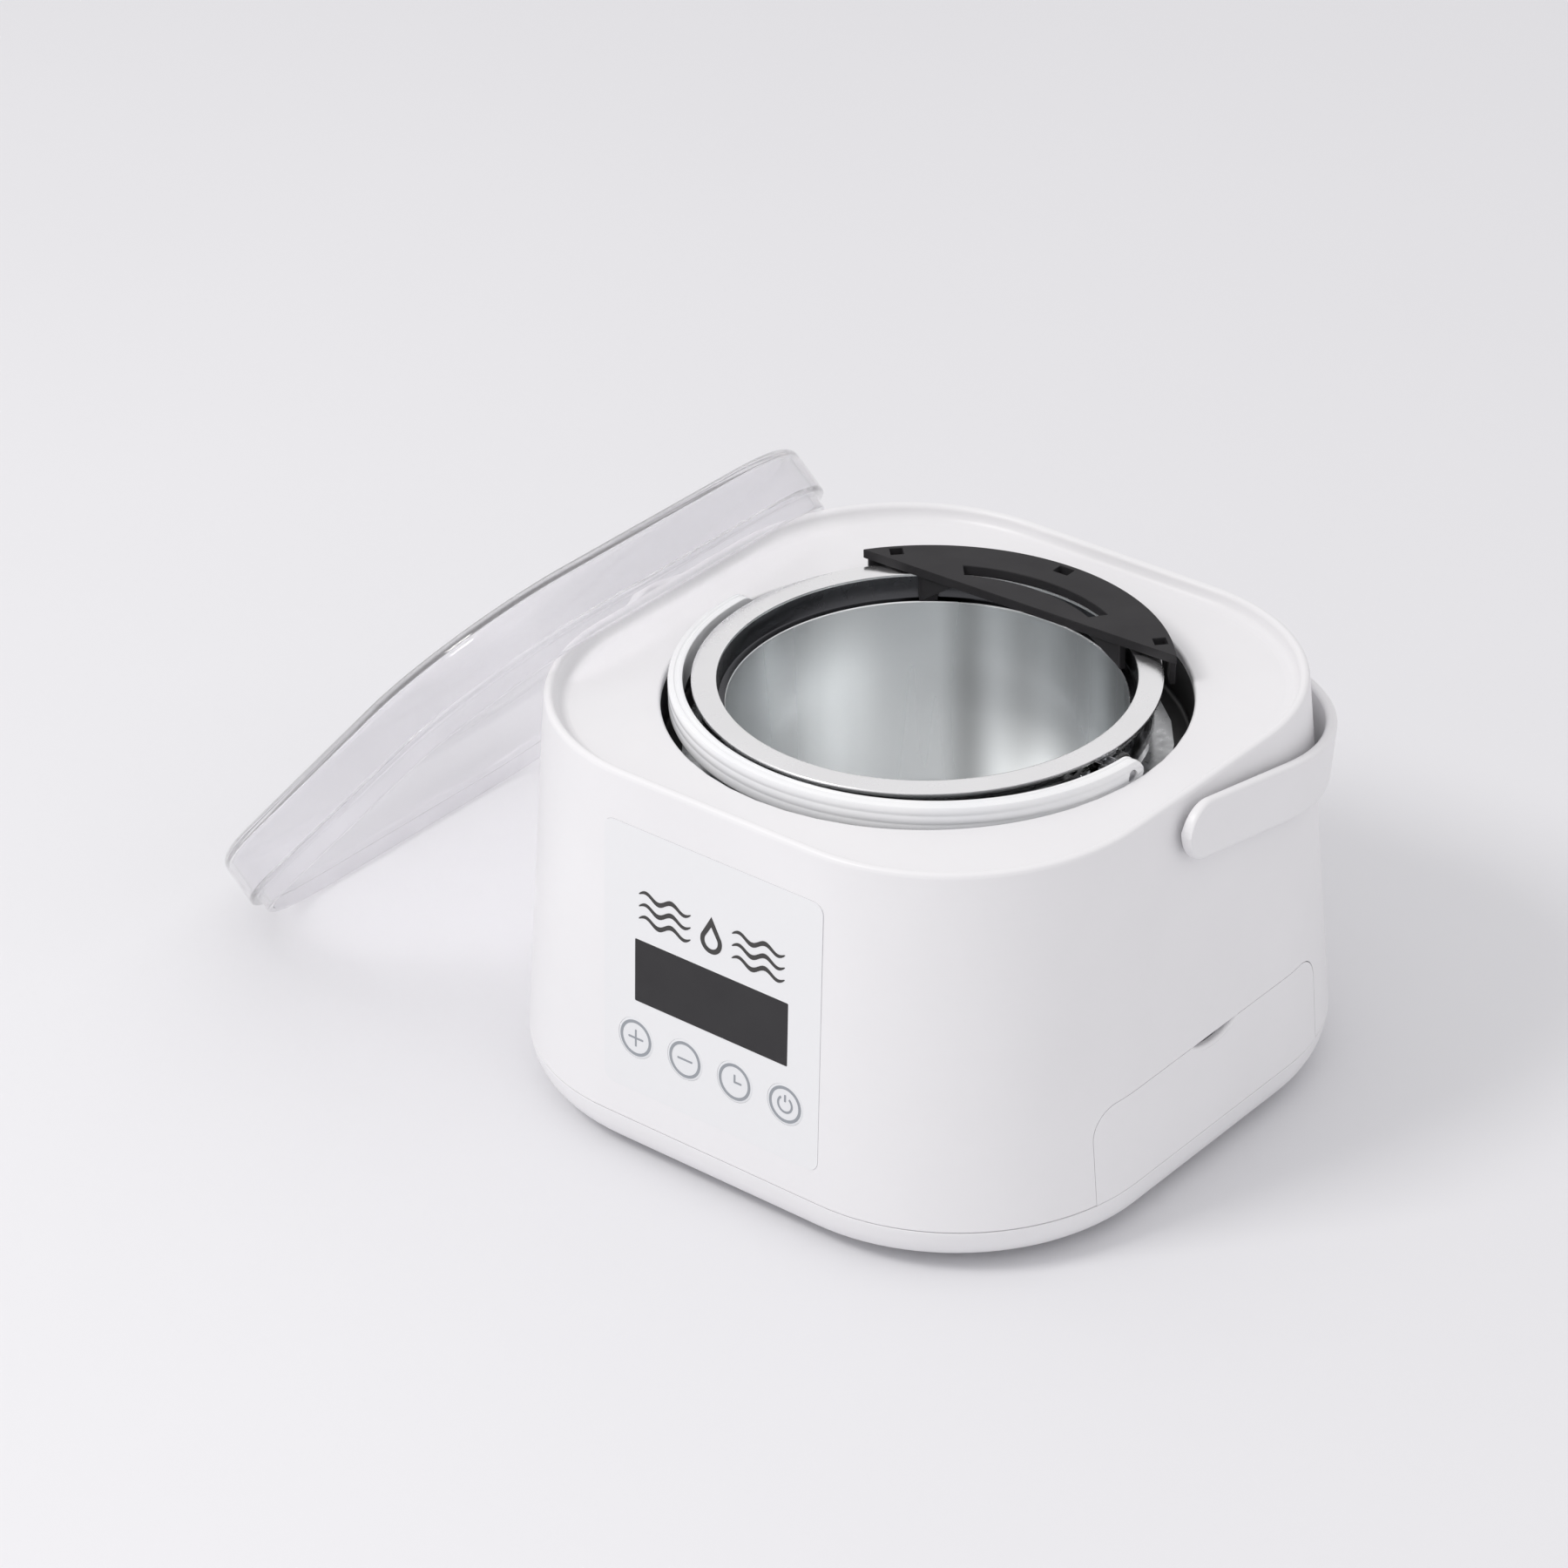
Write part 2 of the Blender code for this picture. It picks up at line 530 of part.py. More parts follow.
def make_panel(panel):
    centre_z = (LABEL_Z[0] + LABEL_Z[1]) / 2
    half_z = (LABEL_Z[1] - LABEL_Z[0]) / 2
    label = plate("control_label", rounded_rectangle(LABEL_HALF_X, half_z, 3 * MM, 4, (0, centre_z)),
                  -0.1 * MM, 0.4 * MM, LABEL, panel)
    window_z = (WINDOW_Z[0] + WINDOW_Z[1]) / 2
    window_half = (WINDOW_Z[1] - WINDOW_Z[0]) / 2
    clear = 0.15 * MM
    hole = rounded_rectangle(WINDOW_HALF_X + clear, window_half + clear, 0.4 * MM, 2, (0, window_z))
    boolean(label, plate("window_hole", hole, -1 * MM, 1 * MM, None, panel))
    plate("display_window", rounded_rectangle(WINDOW_HALF_X, window_half, 0.3 * MM, 2, (0, window_z)),
          -0.12 * MM, 1.2 * MM, GLASS, panel)
    box("display_module", (-22 * MM, 1.6 * MM, -8 * MM), (22 * MM, 5.4 * MM, 8 * MM), BLACK, panel)
    box("control_board", (-32 * MM, 6 * MM, -27 * MM), (32 * MM, 7.6 * MM, 15 * MM), BOARD, panel)
    for i, name in enumerate(KEY_NAMES):
        x = (i - 1.5) * KEY_PITCH
        ends = [(x, y * MM, KEY_ROW_Z) for y in (-1, 2)]
        boolean(label, rod(name + "_hole", KEY_R + 0.2 * MM, *ends, None, panel, 24))
        at = empty(name + "_axis", panel, (x, 0, KEY_ROW_Z), (math.pi / 2, 0, 0))
        cap = [(0, 0.15 * MM), (KEY_R - 0.2 * MM, 0.15 * MM), (KEY_R, 0), (KEY_R, -0.5 * MM),
               (1.6 * MM, -0.5 * MM), (1.6 * MM, -2.4 * MM), (0, -2.4 * MM)]
        turned(name, cap, LABEL, at, steps=24)
        low, high = Vector((-3, 3.7, -3)) * MM, Vector((3, 5.7, 3)) * MM
        switch = box("switch_" + name[4:], low, high, BLACK, panel, (x, 0, KEY_ROW_Z))
        ends = [(x, y * MM, KEY_ROW_Z) for y in (2.95, 4.2)]
        boolean(switch, rod(name + "_button", 1.7 * MM, *ends, None, panel, 16), "UNION")


# ---------------------------------------------------------------- drawer


def drawer_outline(clearance, bottom):
    """The drawer front seen from the side, its top corners rounded."""
    half, top, radius = DRAWER_HALF_Y + clearance, DRAWER_TOP_Z + clearance, DRAWER_CORNER_R
    return ([(half, bottom)] + arc((half - radius, top - radius), radius, 0, 90, 5)
            + arc((radius - half, top - radius), radius, 90, 180, 5) + [(-half, bottom)])


def make_drawer(body):
    slide = empty("drawer_slide", body)
    sections = [(square_outline(half_width(z)), z) for z in (SEAM_Z + GAP, 42 * MM)]
    sections += [(square_outline(half_width(z) - 2.0 * MM), z) for z in (42 * MM, SEAM_Z + GAP)]
    front = loft("drawer_front", sections, WHITE, slide, ring=True)
    blank = drawer_outline(0, SEAM_Z - 2 * MM)
    place, turn = (60 * MM, 0, 0), (0, 0, -math.pi / 2)
    boolean(front, plate("drawer_blank", blank, 0, 40 * MM, None, slide, place, turn), "INTERSECT")
    ends = [(x * MM, NOTCH_Y, NOTCH_LOW_Z + NOTCH_R) for x in (70, 100)]
    boolean(front, rod("notch", NOTCH_R, *ends, None, slide, 48))
    x0, x1 = TRAY_X
    z0, z1 = TRAY_Z
    tray = box("drawer_tray", (x0, -TRAY_HALF_Y, z0), (x1, TRAY_HALF_Y, z1), WHITE, slide)
    wall = 1.8 * MM
    boolean(tray, box("tray_hollow", (x0 + wall, wall - TRAY_HALF_Y, z0 + wall),
                      (x1 - wall, TRAY_HALF_Y - wall, z1 + 5 * MM), None, slide))
    for name, side in (("drawer_runner_front", -1), ("drawer_runner_rear", 1)):
        profile = [(42.0, 5.6), (44.2, 5.6), (44.2, 28), (42.0, 28), (42.0, 16.2), (38, 16.2), (38, 14.6),
                   (42.0, 14.6)]
        outline = [(side * y * MM, z * MM) for y, z in profile]
        plate(name, outline, -30 * MM, 79 * MM, WHITE, body, turn=(0, 0, -math.pi / 2))


# ---------------------------------------------------------------- pot


def make_pot(body):
    """A sheet-metal pot with a wide neck and a flange, and the clear collar that carries its handle."""
    pot = empty("pot_lift", body, turn=(0, 0, POT_YAW))
    inner = POT_R - POT_WALL
    neck = NECK_R - POT_WALL
    lip = FLANGE_Z - FLANGE_DOME
    middle = (neck + FLANGE_R) / 2
    half = (FLANGE_R - neck) / 2
    rolled = lip - 1.2 * MM
    under = rolled + 0.5 * MM
    turned("wax_pot",
           [(0, POT_Z + POT_WALL)] + arc((inner - 6 * MM, POT_Z + POT_WALL + 6 * MM), 6 * MM, -90, 0, 3)
           + [(inner, NECK_Z - 0.4 * MM), (inner + 0.4 * MM, NECK_Z), (neck, NECK_Z)]
           + arc((middle, lip), half, 180, 0, 8, FLANGE_DOME / half)
           + [(FLANGE_R, rolled), (FLANGE_R - 1.0 * MM, rolled), (FLANGE_R - 1.0 * MM, under)]
           + [(NECK_R, under), (NECK_R, NECK_Z - 1.2 * MM), (POT_R, NECK_Z - 1.6 * MM)]
           + arc((POT_R - 7 * MM, POT_Z + 7 * MM), 7 * MM, 0, -90, 3) + [(0, POT_Z)],
           STEEL, pot)
    profile = [(56.4 * MM, 106.2 * MM), (56.6 * MM, 106 * MM), (56.6 * MM, 96.5 * MM), (54 * MM, 96.5 * MM),
               (54 * MM, 106.2 * MM)]
    collar = turned("pot_collar", profile, CLEAR, pot, closed=True, steps=36)
    for side, sign in (("left", -1), ("right", 1)):
        x0, x1 = sorted((sign * 55.4 * MM, sign * (BAIL_INNER_X - 0.5 * MM)))
        ear = box("ear_" + side, (x0, -5 * MM, 100.9 * MM), (x1, 5 * MM, 108.3 * MM), None, pot)
        boolean(collar, bevelled(ear, 1.2 * MM), "UNION")
        ends = [(sign * x * MM, 0, BAIL_Z) for x in (57.5, 70)]
        boolean(collar, rod("ear_bore_" + side, BAIL_BORE_R, *ends, None, pot, 16))
    return pot


def make_bail(pot):
    """The pot's handle lies round the flange, nearer to it at the front than at its pivots."""
    swing = empty("pot_handle_swing", pot, (0, 0, BAIL_Z))
    reach = BAIL_INNER_X + BAIL_THICK / 2
    squash = (BAIL_INNER_Y + BAIL_THICK / 2) / reach
    tips = pill_end(BAIL_HALF_HEIGHT, BAIL_HALF_HEIGHT)
    half_ring = arc((0, 0), reach, 0, -180, 30, squash)
    path = [(reach, beyond) for beyond, _ in tips] + half_ring
    path += [(-reach, beyond) for beyond, _ in reversed(tips)]
    tapered = [half for _, half in tips]
    heights = tapered + [BAIL_HALF_HEIGHT] * len(half_ring) + tapered[::-1]
    bail = strap("pot_handle", path, heights, BAIL_THICK, CLEAR, swing)
    for side, sign in (("left", -1), ("right", 1)):
        ends = [(sign * x * MM, 0, 0) for x in (58, 70)]
        boolean(bail, rod("bail_bore_" + side, BAIL_BORE_R, *ends, None, swing, 16))
        ends = [(sign * x * MM, 0, BAIL_Z) for x in (57.8, 65.3)]
        rod("pot_handle_pin_" + side, 1.3 * MM, *ends, ZINC, pot, 16)


def extruded(outline, low, high):
    """A closed slab with the outline, between two heights."""
    bm = bmesh.new()
    face = bm.faces.new([bm.verts.new((x, y, low)) for x, y in outline])
    grown = bmesh.ops.extrude_face_region(bm, geom=[face])["geom"]
    raised = [v for v in grown if isinstance(v, bmesh.types.BMVert)]
    bmesh.ops.translate(bm, verts=raised, vec=(0, 0, high - low))
    return bm


def round_the_pot(radius, angle):
    """A point and a turn that face outwards at this radius and angle."""
    bearing = math.radians(angle)
    return (radius * math.cos(bearing), radius * math.sin(bearing), 0), (0, 0, bearing)


def make_spatula_rest(pot):
    """A plate over the back of the flange, with two braced legs inside the neck and two outside the flange."""
    lift = empty("spatula_rest_lift", pot, (0, 0, REST_Z), (0, 0, REST_YAW))
    edge = math.degrees(math.asin(REST_CHORD_Y / REST_R))
    plate_outline = arc((0, 0), REST_R, edge, 180 - edge, 24)
    rest = add("spatula_rest", extruded(plate_outline, 0, REST_THICK), BLACK, lift)
    slot = arc((0, 0), 51.4 * MM, 64, 116, 10) + arc((0, 0), 46.5 * MM, 114.5, 65.5, 10)
    boolean(rest, add("rest_slot", extruded(slot, -2 * MM, 5 * MM), None, lift))
    for i, (angle, half) in enumerate(((46, 1.7), (90, 2.2), (134, 1.7))):
        at, turn = round_the_pot(59.0 * MM, angle)
        low, high = Vector((-1.7, -half, -2)) * MM, Vector((1.7, half, 5)) * MM
        boolean(rest, box(f"rest_hole_{i}", low, high, None, lift, at, turn))
    legs = ((54, 50.6, 7.2), (126, 50.6, 7.2), (41.5, 61.1, 6.0), (138.5, 61.1, 6.0))
    for i, (angle, radius, deep) in enumerate(legs):
        at, turn = round_the_pot(radius * MM, angle)
        low, high = Vector((-0.75, -2.4, -deep)) * MM, Vector((0.75, 2.4, 1.3)) * MM
        boolean(rest, box(f"rest_leg_{i}", low, high, None, lift, at, turn), "UNION")
    for side in (-1, 1):
        corners = [(side * x * MM, z * MM) for x, z in ((20.5, 1.0), (20.5, -0.2), (30.6, -7.0), (30.6, 1.0))]
        boolean(rest, plate(f"rest_brace_{side}", corners, 39.4 * MM, 40.8 * MM, None, lift), "UNION")


# ---------------------------------------------------------------- lid and carry handle


def make_lid(body):
    """The lid lies in a frame whose Z is its top's outward normal, leaning on the housing's left side."""
    plug_half = LID_HALF_X - LID_PLUG_INSET
    total = LID_SKIRT + LID_PLUG
    foot_z = plug_half * math.sin(LID_TILT) + total * math.cos(LID_TILT) - 0.2 * MM
    frame = empty("lid_lift", body, (LID_X, LID_Y, foot_z), (0, -LID_TILT, 0))

    within = LID_PLUG_INSET + 1.8 * MM
    profile = [(7.0 * MM, 0), (2.6 * MM, 0.35 * MM), (0.9 * MM, 1.3 * MM), (0.15 * MM, 2.6 * MM)]
    profile += [(0, 4.0 * MM), (0, LID_SKIRT - 0.5 * MM), (0.5 * MM, LID_SKIRT), (LID_PLUG_INSET, LID_SKIRT)]
    profile += [(LID_PLUG_INSET, total - 0.4 * MM), (LID_PLUG_INSET + 0.4 * MM, total), (within, total)]
    profile += [(within, LID_SKIRT - MM), (LID_WALL, LID_SKIRT - 2.2 * MM), (LID_WALL, 4.0 * MM)]
    profile += [(2.9 * MM, 2.6 * MM), (7.0 * MM, 1.9 * MM)]
    sections = [(square_outline(LID_HALF_X - inset, LID_CORNER_R - inset), -depth)
                for inset, depth in profile]
    return loft("lid", sections, CLEAR, frame)


def make_carry_handle(body):
    """A strap round the back of the housing, hung on a pin at each side."""
    swing = empty("carry_handle_swing", body, (0, HANDLE_Y, HANDLE_Z), (-HANDLE_DROP, 0, 0))
    middle = HANDLE_HALF_X - HANDLE_THICK / 2
    reach = HANDLE_REACH - HANDLE_THICK / 2
    radius = HANDLE_CORNER_R - HANDLE_THICK / 2
    tips = pill_end(HANDLE_HALF_HEIGHT, HANDLE_HALF_HEIGHT, 5)
    right = [(middle, -beyond) for beyond, _ in tips] + [(middle, 0), (middle, 20 * MM)]
    right += arc((middle - radius, reach - radius), radius, 0, 90, 14)
    heights = [half for _, half in tips]
    heights += [HANDLE_HALF_HEIGHT] * (len(right) - len(heights))
    path = right + [(-x, y) for x, y in reversed(right)]
    handle = strap("carry_handle", path, heights + heights[::-1], HANDLE_THICK, WHITE, swing)
    for side, sign in (("left", -1), ("right", 1)):
        ends = [(sign * x * MM, 0, 0) for x in (80, 88.5)]
        boolean(handle, rod("handle_bore_" + side, HANDLE_BORE_R, *ends, None, swing))
        inner, shoulder, tip = [(sign * x * MM, HANDLE_Y, HANDLE_Z) for x in (76.6, 79.6, 88.2)]
        pin = rod("carry_handle_pin_" + side, 1.7 * MM, inner, tip, ZINC, body)
        boolean(pin, rod("pin_head_" + side, 2.3 * MM, inner, shoulder, None, body), "UNION")


# ---------------------------------------------------------------- assembly

BODY = empty("wax_bath", at=BODY_AT)
PANEL = panel_frame(BODY)
make_shell(BODY, PANEL)
make_base(BODY)
make_fasteners(BODY)
make_heating(BODY)
make_electrics(BODY)
make_panel(PANEL)
make_drawer(BODY)
POT = make_pot(BODY)
make_bail(POT)
make_spatula_rest(POT)
make_lid(BODY)
make_carry_handle(BODY)
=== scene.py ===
"""Looks of the paraffin wax bath: fine surfaces, materials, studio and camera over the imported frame.

Lengths in the piece functions are millimetres about the centre of the housing's footprint, X to the
right along the front, Y to the back, Z up, and each piece's mesh is moved into the frame's metres.
"""

import math

import bmesh
import bpy
from mathutils import Matrix, Vector


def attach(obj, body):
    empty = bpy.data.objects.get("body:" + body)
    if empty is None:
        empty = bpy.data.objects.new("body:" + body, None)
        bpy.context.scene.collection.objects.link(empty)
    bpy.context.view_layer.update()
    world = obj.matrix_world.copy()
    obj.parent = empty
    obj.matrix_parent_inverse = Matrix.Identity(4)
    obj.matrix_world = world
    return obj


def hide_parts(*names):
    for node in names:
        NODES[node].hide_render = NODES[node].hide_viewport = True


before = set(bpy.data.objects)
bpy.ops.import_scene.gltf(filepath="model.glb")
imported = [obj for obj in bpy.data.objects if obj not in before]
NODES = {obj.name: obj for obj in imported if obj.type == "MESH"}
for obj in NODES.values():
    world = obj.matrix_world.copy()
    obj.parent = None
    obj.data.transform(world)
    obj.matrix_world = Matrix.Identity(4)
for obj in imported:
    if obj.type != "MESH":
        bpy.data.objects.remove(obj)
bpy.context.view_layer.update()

MM = 0.001
BODY_AT = Vector((51.35, -2.162, 0.0))

# Housing
SEAM_Z = 13.0
RIM_Z = 109.5
DECK_Z = 105.2
SEAM_HALF = 90.0
DEEPER_THAN_WIDE = -2.0
DRAFT = 0.0568
CORNER_R = 55.0
WALL = 2.4
OPENING_R = 66.5
BASE_Z = 2.8
SEAM_GAP = 0.16

# Pot
POT_YAW = math.radians(-2.8)
POT_R = 51.4
POT_WALL = 1.2
POT_Z = 44.0
NECK_R = 53.6
NECK_Z = 103.4
FLANGE_R = 58.7
FLANGE_Z = 110.7
FLANGE_DOME = 0.5
BAIL_PIVOT_Z = 105.6
BAIL_INNER_X = 62.0
BAIL_INNER_Y = 59.3
BAIL_THICK = 3.8
BAIL_HALF_HEIGHT = 4.0
BAIL_BORE_R = 1.6

# Spatula rest
REST_R = 62.0
REST_YAW = math.radians(4.5)
REST_CHORD_Y = 38.3
REST_Z = 111.0
REST_THICK = 2.6
REST_HOLES = ((46, 1.7), (90, 2.2), (134, 1.7))
REST_HOLE_RADIUS = 59.0
REST_LEGS = ((54, 50.6, 7.2), (126, 50.6, 7.2), (41.5, 61.1, 6.0), (138.5, 61.1, 6.0))
REST_BRACE = ((20.5, 1.0), (20.5, -0.2), (30.6, -7.0), (30.6, 1.0))

# Lid
LID_HALF = 81.0
LID_CORNER_R = 45.4
LID_TILT = math.radians(47.55)
LID_SKIRT = 15.3
LID_DROP = 19.25
LID_PLUG_INSET = 2.4
LID_X = -139.6
LID_Y = -4.6

# Carry handle
HANDLE_Y = -4.9
HANDLE_Z = 100.2
HANDLE_DROP = math.radians(10.35)
HANDLE_HALF = 89.7
HANDLE_REACH = 97.6
HANDLE_CORNER_R = 62.4
HANDLE_HALF_HEIGHT = 7.75
HANDLE_THICK = 3.0
HANDLE_BORE_R = 2.0

# Drawer
DRAWER_HALF_Y = 46.7
DRAWER_TOP_Z = 39.0
DRAWER_CORNER_R = 8.0
DRAWER_WALL = 2.0
NOTCH_R = 17.4
NOTCH_Y = 1.0
NOTCH_LOW_Z = 36.5
TRAY_REAR_X = -28.0
TRAY_FRONT_X = 85.0
TRAY_HALF_Y = 41.5
TRAY_LOW_Z = 16.6
TRAY_HIGH_Z = 35.0
TRAY_WALL = 1.8

# Control panel
PANEL_Z = 57.0
LABEL_HALF_X = 34.2
LABEL_LOW_Z = -35.0
LABEL_HIGH_Z = 39.4
WINDOW_HALF_X = 24.2
WINDOW_LOW_Z = -8.8
WINDOW_HIGH_Z = 8.7
KEY_ROW_Z = -19.6
KEY_PITCH = 15.9
KEY_R = 5.6
KEY_KINDS = ("plus", "minus", "timer", "power")
KEY_PRINT_Y = (-0.19, -0.08)
MARK_PRINT_Y = (-0.17, -0.06)
MARK_Z = 18.2

# Bowl wall's painted reflection bands: bearing in degrees and how bright the painted reflection is there
BOWL_REFLECTION_BANDS = (
    (-180, 0.80), (-166, 0.72), (-140, 0.80), (-60, 0.88), (20, 0.88), (54, 0.66), (67, 0.95), (78, 0.72),
    (90, 0.98), (99, 0.82), (107, 1.0), (116, 0.58), (126, 0.98), (146, 1.0), (163, 0.92), (180, 0.80),
)
BOWL_REFLECTION_TINT = (0.965, 0.985, 0.995)

# Steps round a corner of the housing, along one of its sides, and round a turned piece
CORNER_STEPS = 26
SIDE_STEPS = 6
ROUND_STEPS = 192


def turned_by(axis, angle):
    return Matrix.Rotation(angle, 4, axis)


BODY = Matrix.Translation(BODY_AT)
POT = BODY @ turned_by("Z", POT_YAW)
LID_FOOT_Z = (LID_HALF - LID_PLUG_INSET) * math.sin(LID_TILT) + LID_DROP * math.cos(LID_TILT) - 0.2
LID = BODY @ Matrix.Translation((LID_X, LID_Y, LID_FOOT_Z)) @ turned_by("Y", -LID_TILT)
HANDLE = BODY @ Matrix.Translation((0, HANDLE_Y, HANDLE_Z)) @ turned_by("X", -HANDLE_DROP)


def half_width(z):
    """The housing's outer half width at a height."""
    return SEAM_HALF - DRAFT * (z - SEAM_Z)


PANEL_Y = -(half_width(PANEL_Z) + DEEPER_THAN_WIDE)
PANEL = BODY @ Matrix.Translation((0, PANEL_Y, PANEL_Z)) @ turned_by("X", -math.atan(DRAFT))


# ---------------------------------------------------------------- camera, floor and light

VIEW_AZIMUTH = math.radians(40.129)
VIEW_ELEVATION = math.radians(30.513)
VIEW_ROLL = math.radians(-1.305)
VIEW_DISTANCE = 1294.6
VIEW_SHIFT_RIGHT = -36.135
VIEW_SHIFT_UP = 16.602
VIEW_CENTRE_Z = 60
VIEW_FOCAL = 3.2583333

ROOM_COLOUR = (0.99, 0.98, 0.99, 1)
ROOM_STRENGTH = 0.81
KEY_LIGHT_PLACE = (-0.42, -0.9, 1.25)
KEY_LIGHT_AIM = (0.03, 0, 0.05)
KEY_LIGHT_SIZE = (0.42, 0.42)
KEY_LIGHT_WATTS = 8.0
KEY_LIGHT_COLOUR = (1.0, 0.985, 0.97)


def make_camera():
    """The photo's camera, fitted to the object's edges: lengths in millimetres, focal in picture widths."""
    sin_a, cos_a = math.sin(VIEW_AZIMUTH), math.cos(VIEW_AZIMUTH)
    sin_e, cos_e = math.sin(VIEW_ELEVATION), math.cos(VIEW_ELEVATION)
    back = Vector((sin_a * cos_e, -cos_a * cos_e, sin_e))
    right = Vector((cos_a, sin_a, 0))
    up = back.cross(right)
    place = back * VIEW_DISTANCE + right * VIEW_SHIFT_RIGHT + up * VIEW_SHIFT_UP
    place = place + Vector((0, 0, VIEW_CENTRE_Z)) + BODY_AT
    across = right * math.cos(VIEW_ROLL) + up * math.sin(VIEW_ROLL)
    upright = up * math.cos(VIEW_ROLL) - right * math.sin(VIEW_ROLL)
    data = bpy.data.cameras.new("camera")
    data.sensor_width = 36
    data.lens = VIEW_FOCAL * data.sensor_width
    data.clip_start = 0.05
    data.clip_end = 20
    camera = bpy.data.objects.new("camera", data)
    facing = Matrix((across, upright, back)).transposed().to_4x4()
    camera.matrix_world = Matrix.Translation(place * MM) @ facing
    bpy.context.scene.collection.objects.link(camera)
    bpy.context.scene.camera = camera


def softbox(name, place, aim, size, watts, colour):
    """A rectangular light at a place in metres, facing its aim."""
    data = bpy.data.lights.new(name, "AREA")
    data.shape = "RECTANGLE"
    data.size, data.size_y = size
    data.energy = watts
    data.color = colour
    light = bpy.data.objects.new(name, data)
    place, aim = Vector(place), Vector(aim)
    facing = (place - aim).to_track_quat("Z", "Y").to_matrix().to_4x4()
    light.matrix_world = Matrix.Translation(place) @ facing
    bpy.context.scene.collection.objects.link(light)


def make_studio():
    scene = bpy.context.scene
    scene.view_settings.view_transform = "Standard"
    scene.view_settings.look = "None"
    world = bpy.data.worlds.new("studio")
    world.use_nodes = True
    background = world.node_tree.nodes["Background"]
    background.inputs["Color"].default_value = ROOM_COLOUR
    background.inputs["Strength"].default_value = ROOM_STRENGTH
    scene.world = world
    softbox("key_light", KEY_LIGHT_PLACE, KEY_LIGHT_AIM, KEY_LIGHT_SIZE, KEY_LIGHT_WATTS, KEY_LIGHT_COLOUR)


def make_floor():
    bm = bmesh.new()
    bmesh.ops.create_grid(bm, x_segments=8, y_segments=8, size=2.5)
    mesh = bpy.data.meshes.new("floor")
    bm.to_mesh(mesh)
    bm.free()
    floor = bpy.data.objects.new("floor", mesh)
    bpy.context.scene.collection.objects.link(floor)
    mesh.materials.append(FLOOR)


# ---------------------------------------------------------------- materials


class Shader:
    """A Principled material and short ways to add the nodes that vary it over the surface."""

    def __init__(self, name, colour, roughness, **sockets):
        self.material = bpy.data.materials.new(name)
        self.material.use_nodes = True
        self.tree = self.material.node_tree
        self.principled = self.tree.nodes["Principled BSDF"]
        self.set("Base Color", (*colour, 1))
        self.set("Roughness", roughness)
        for socket, value in sockets.items():
            self.set(socket.replace("_", " "), value)
        self.coordinates = self.tree.nodes.new("ShaderNodeTexCoord").outputs["Object"]
        self.last_bump = None

    def set(self, socket, value):
        self.principled.inputs[socket].default_value = value

    def link(self, source, target):
        self.tree.links.new(source, target)

    def stretched(self, scale):
        mapping = self.tree.nodes.new("ShaderNodeMapping")
        mapping.inputs["Scale"].default_value = scale
        self.link(self.coordinates, mapping.inputs["Vector"])
        return mapping.outputs["Vector"]

    def noise(self, scale, detail=3.0, roughness=0.55, stretch=None):
        noise = self.tree.nodes.new("ShaderNodeTexNoise")
        noise.inputs["Scale"].default_value = scale
        noise.inputs["Detail"].default_value = detail
        noise.inputs["Roughness"].default_value = roughness
        self.link(self.stretched(stretch) if stretch else self.coordinates, noise.inputs["Vector"])
        return noise.outputs["Fac"]

    def ramp(self, factor, low, high, start=0.35, end=0.65):
        ramp = self.tree.nodes.new("ShaderNodeValToRGB")
        ramp.color_ramp.elements[0].position = start
        ramp.color_ramp.elements[1].position = end
        ramp.color_ramp.elements[0].color = (*low, 1)
        ramp.color_ramp.elements[1].color = (*high, 1)
        self.link(factor, ramp.inputs["Fac"])
        return ramp.outputs["Color"]

    def between(self, factor, low, high):
        spread = self.tree.nodes.new("ShaderNodeMapRange")
        spread.inputs["From Min"].default_value = 0.3
        spread.inputs["From Max"].default_value = 0.7
        spread.inputs["To Min"].default_value = low
        spread.inputs["To Max"].default_value = high
        self.link(factor, spread.inputs["Value"])
        return spread.outputs["Result"]

    def colour_by(self, factor, low, high, start=0.35, end=0.65):
        self.link(self.ramp(factor, low, high, start, end), self.principled.inputs["Base Color"])

    def roughness_by(self, factor, low, high):
        self.link(self.between(factor, low, high), self.principled.inputs["Roughness"])

    def bump(self, height, strength, distance):
        bump = self.tree.nodes.new("ShaderNodeBump")
        bump.inputs["Strength"].default_value = strength
        bump.inputs["Distance"].default_value = distance
        self.link(height, bump.inputs["Height"])
        if self.last_bump:
            self.link(self.last_bump, bump.inputs["Normal"])
        self.last_bump = bump.outputs["Normal"]
        self.link(self.last_bump, self.principled.inputs["Normal"])

    def lets_light_through(self, share):
        """Shadow rays pass this share of the light, as thin clear plastic does."""
        nodes = self.tree.nodes
        path = nodes.new("ShaderNodeLightPath")
        scaled = nodes.new("ShaderNodeMath")
        scaled.operation = "MULTIPLY"
        scaled.inputs[1].default_value = share
        clear = nodes.new("ShaderNodeBsdfTransparent")
        mix = nodes.new("ShaderNodeMixShader")
        self.link(path.outputs["Is Shadow Ray"], scaled.inputs[0])
        self.link(scaled.outputs["Value"], mix.inputs["Fac"])
        self.link(self.principled.outputs["BSDF"], mix.inputs[1])
        self.link(clear.outputs["BSDF"], mix.inputs[2])
        self.link(mix.outputs["Shader"], nodes["Material Output"].inputs["Surface"])


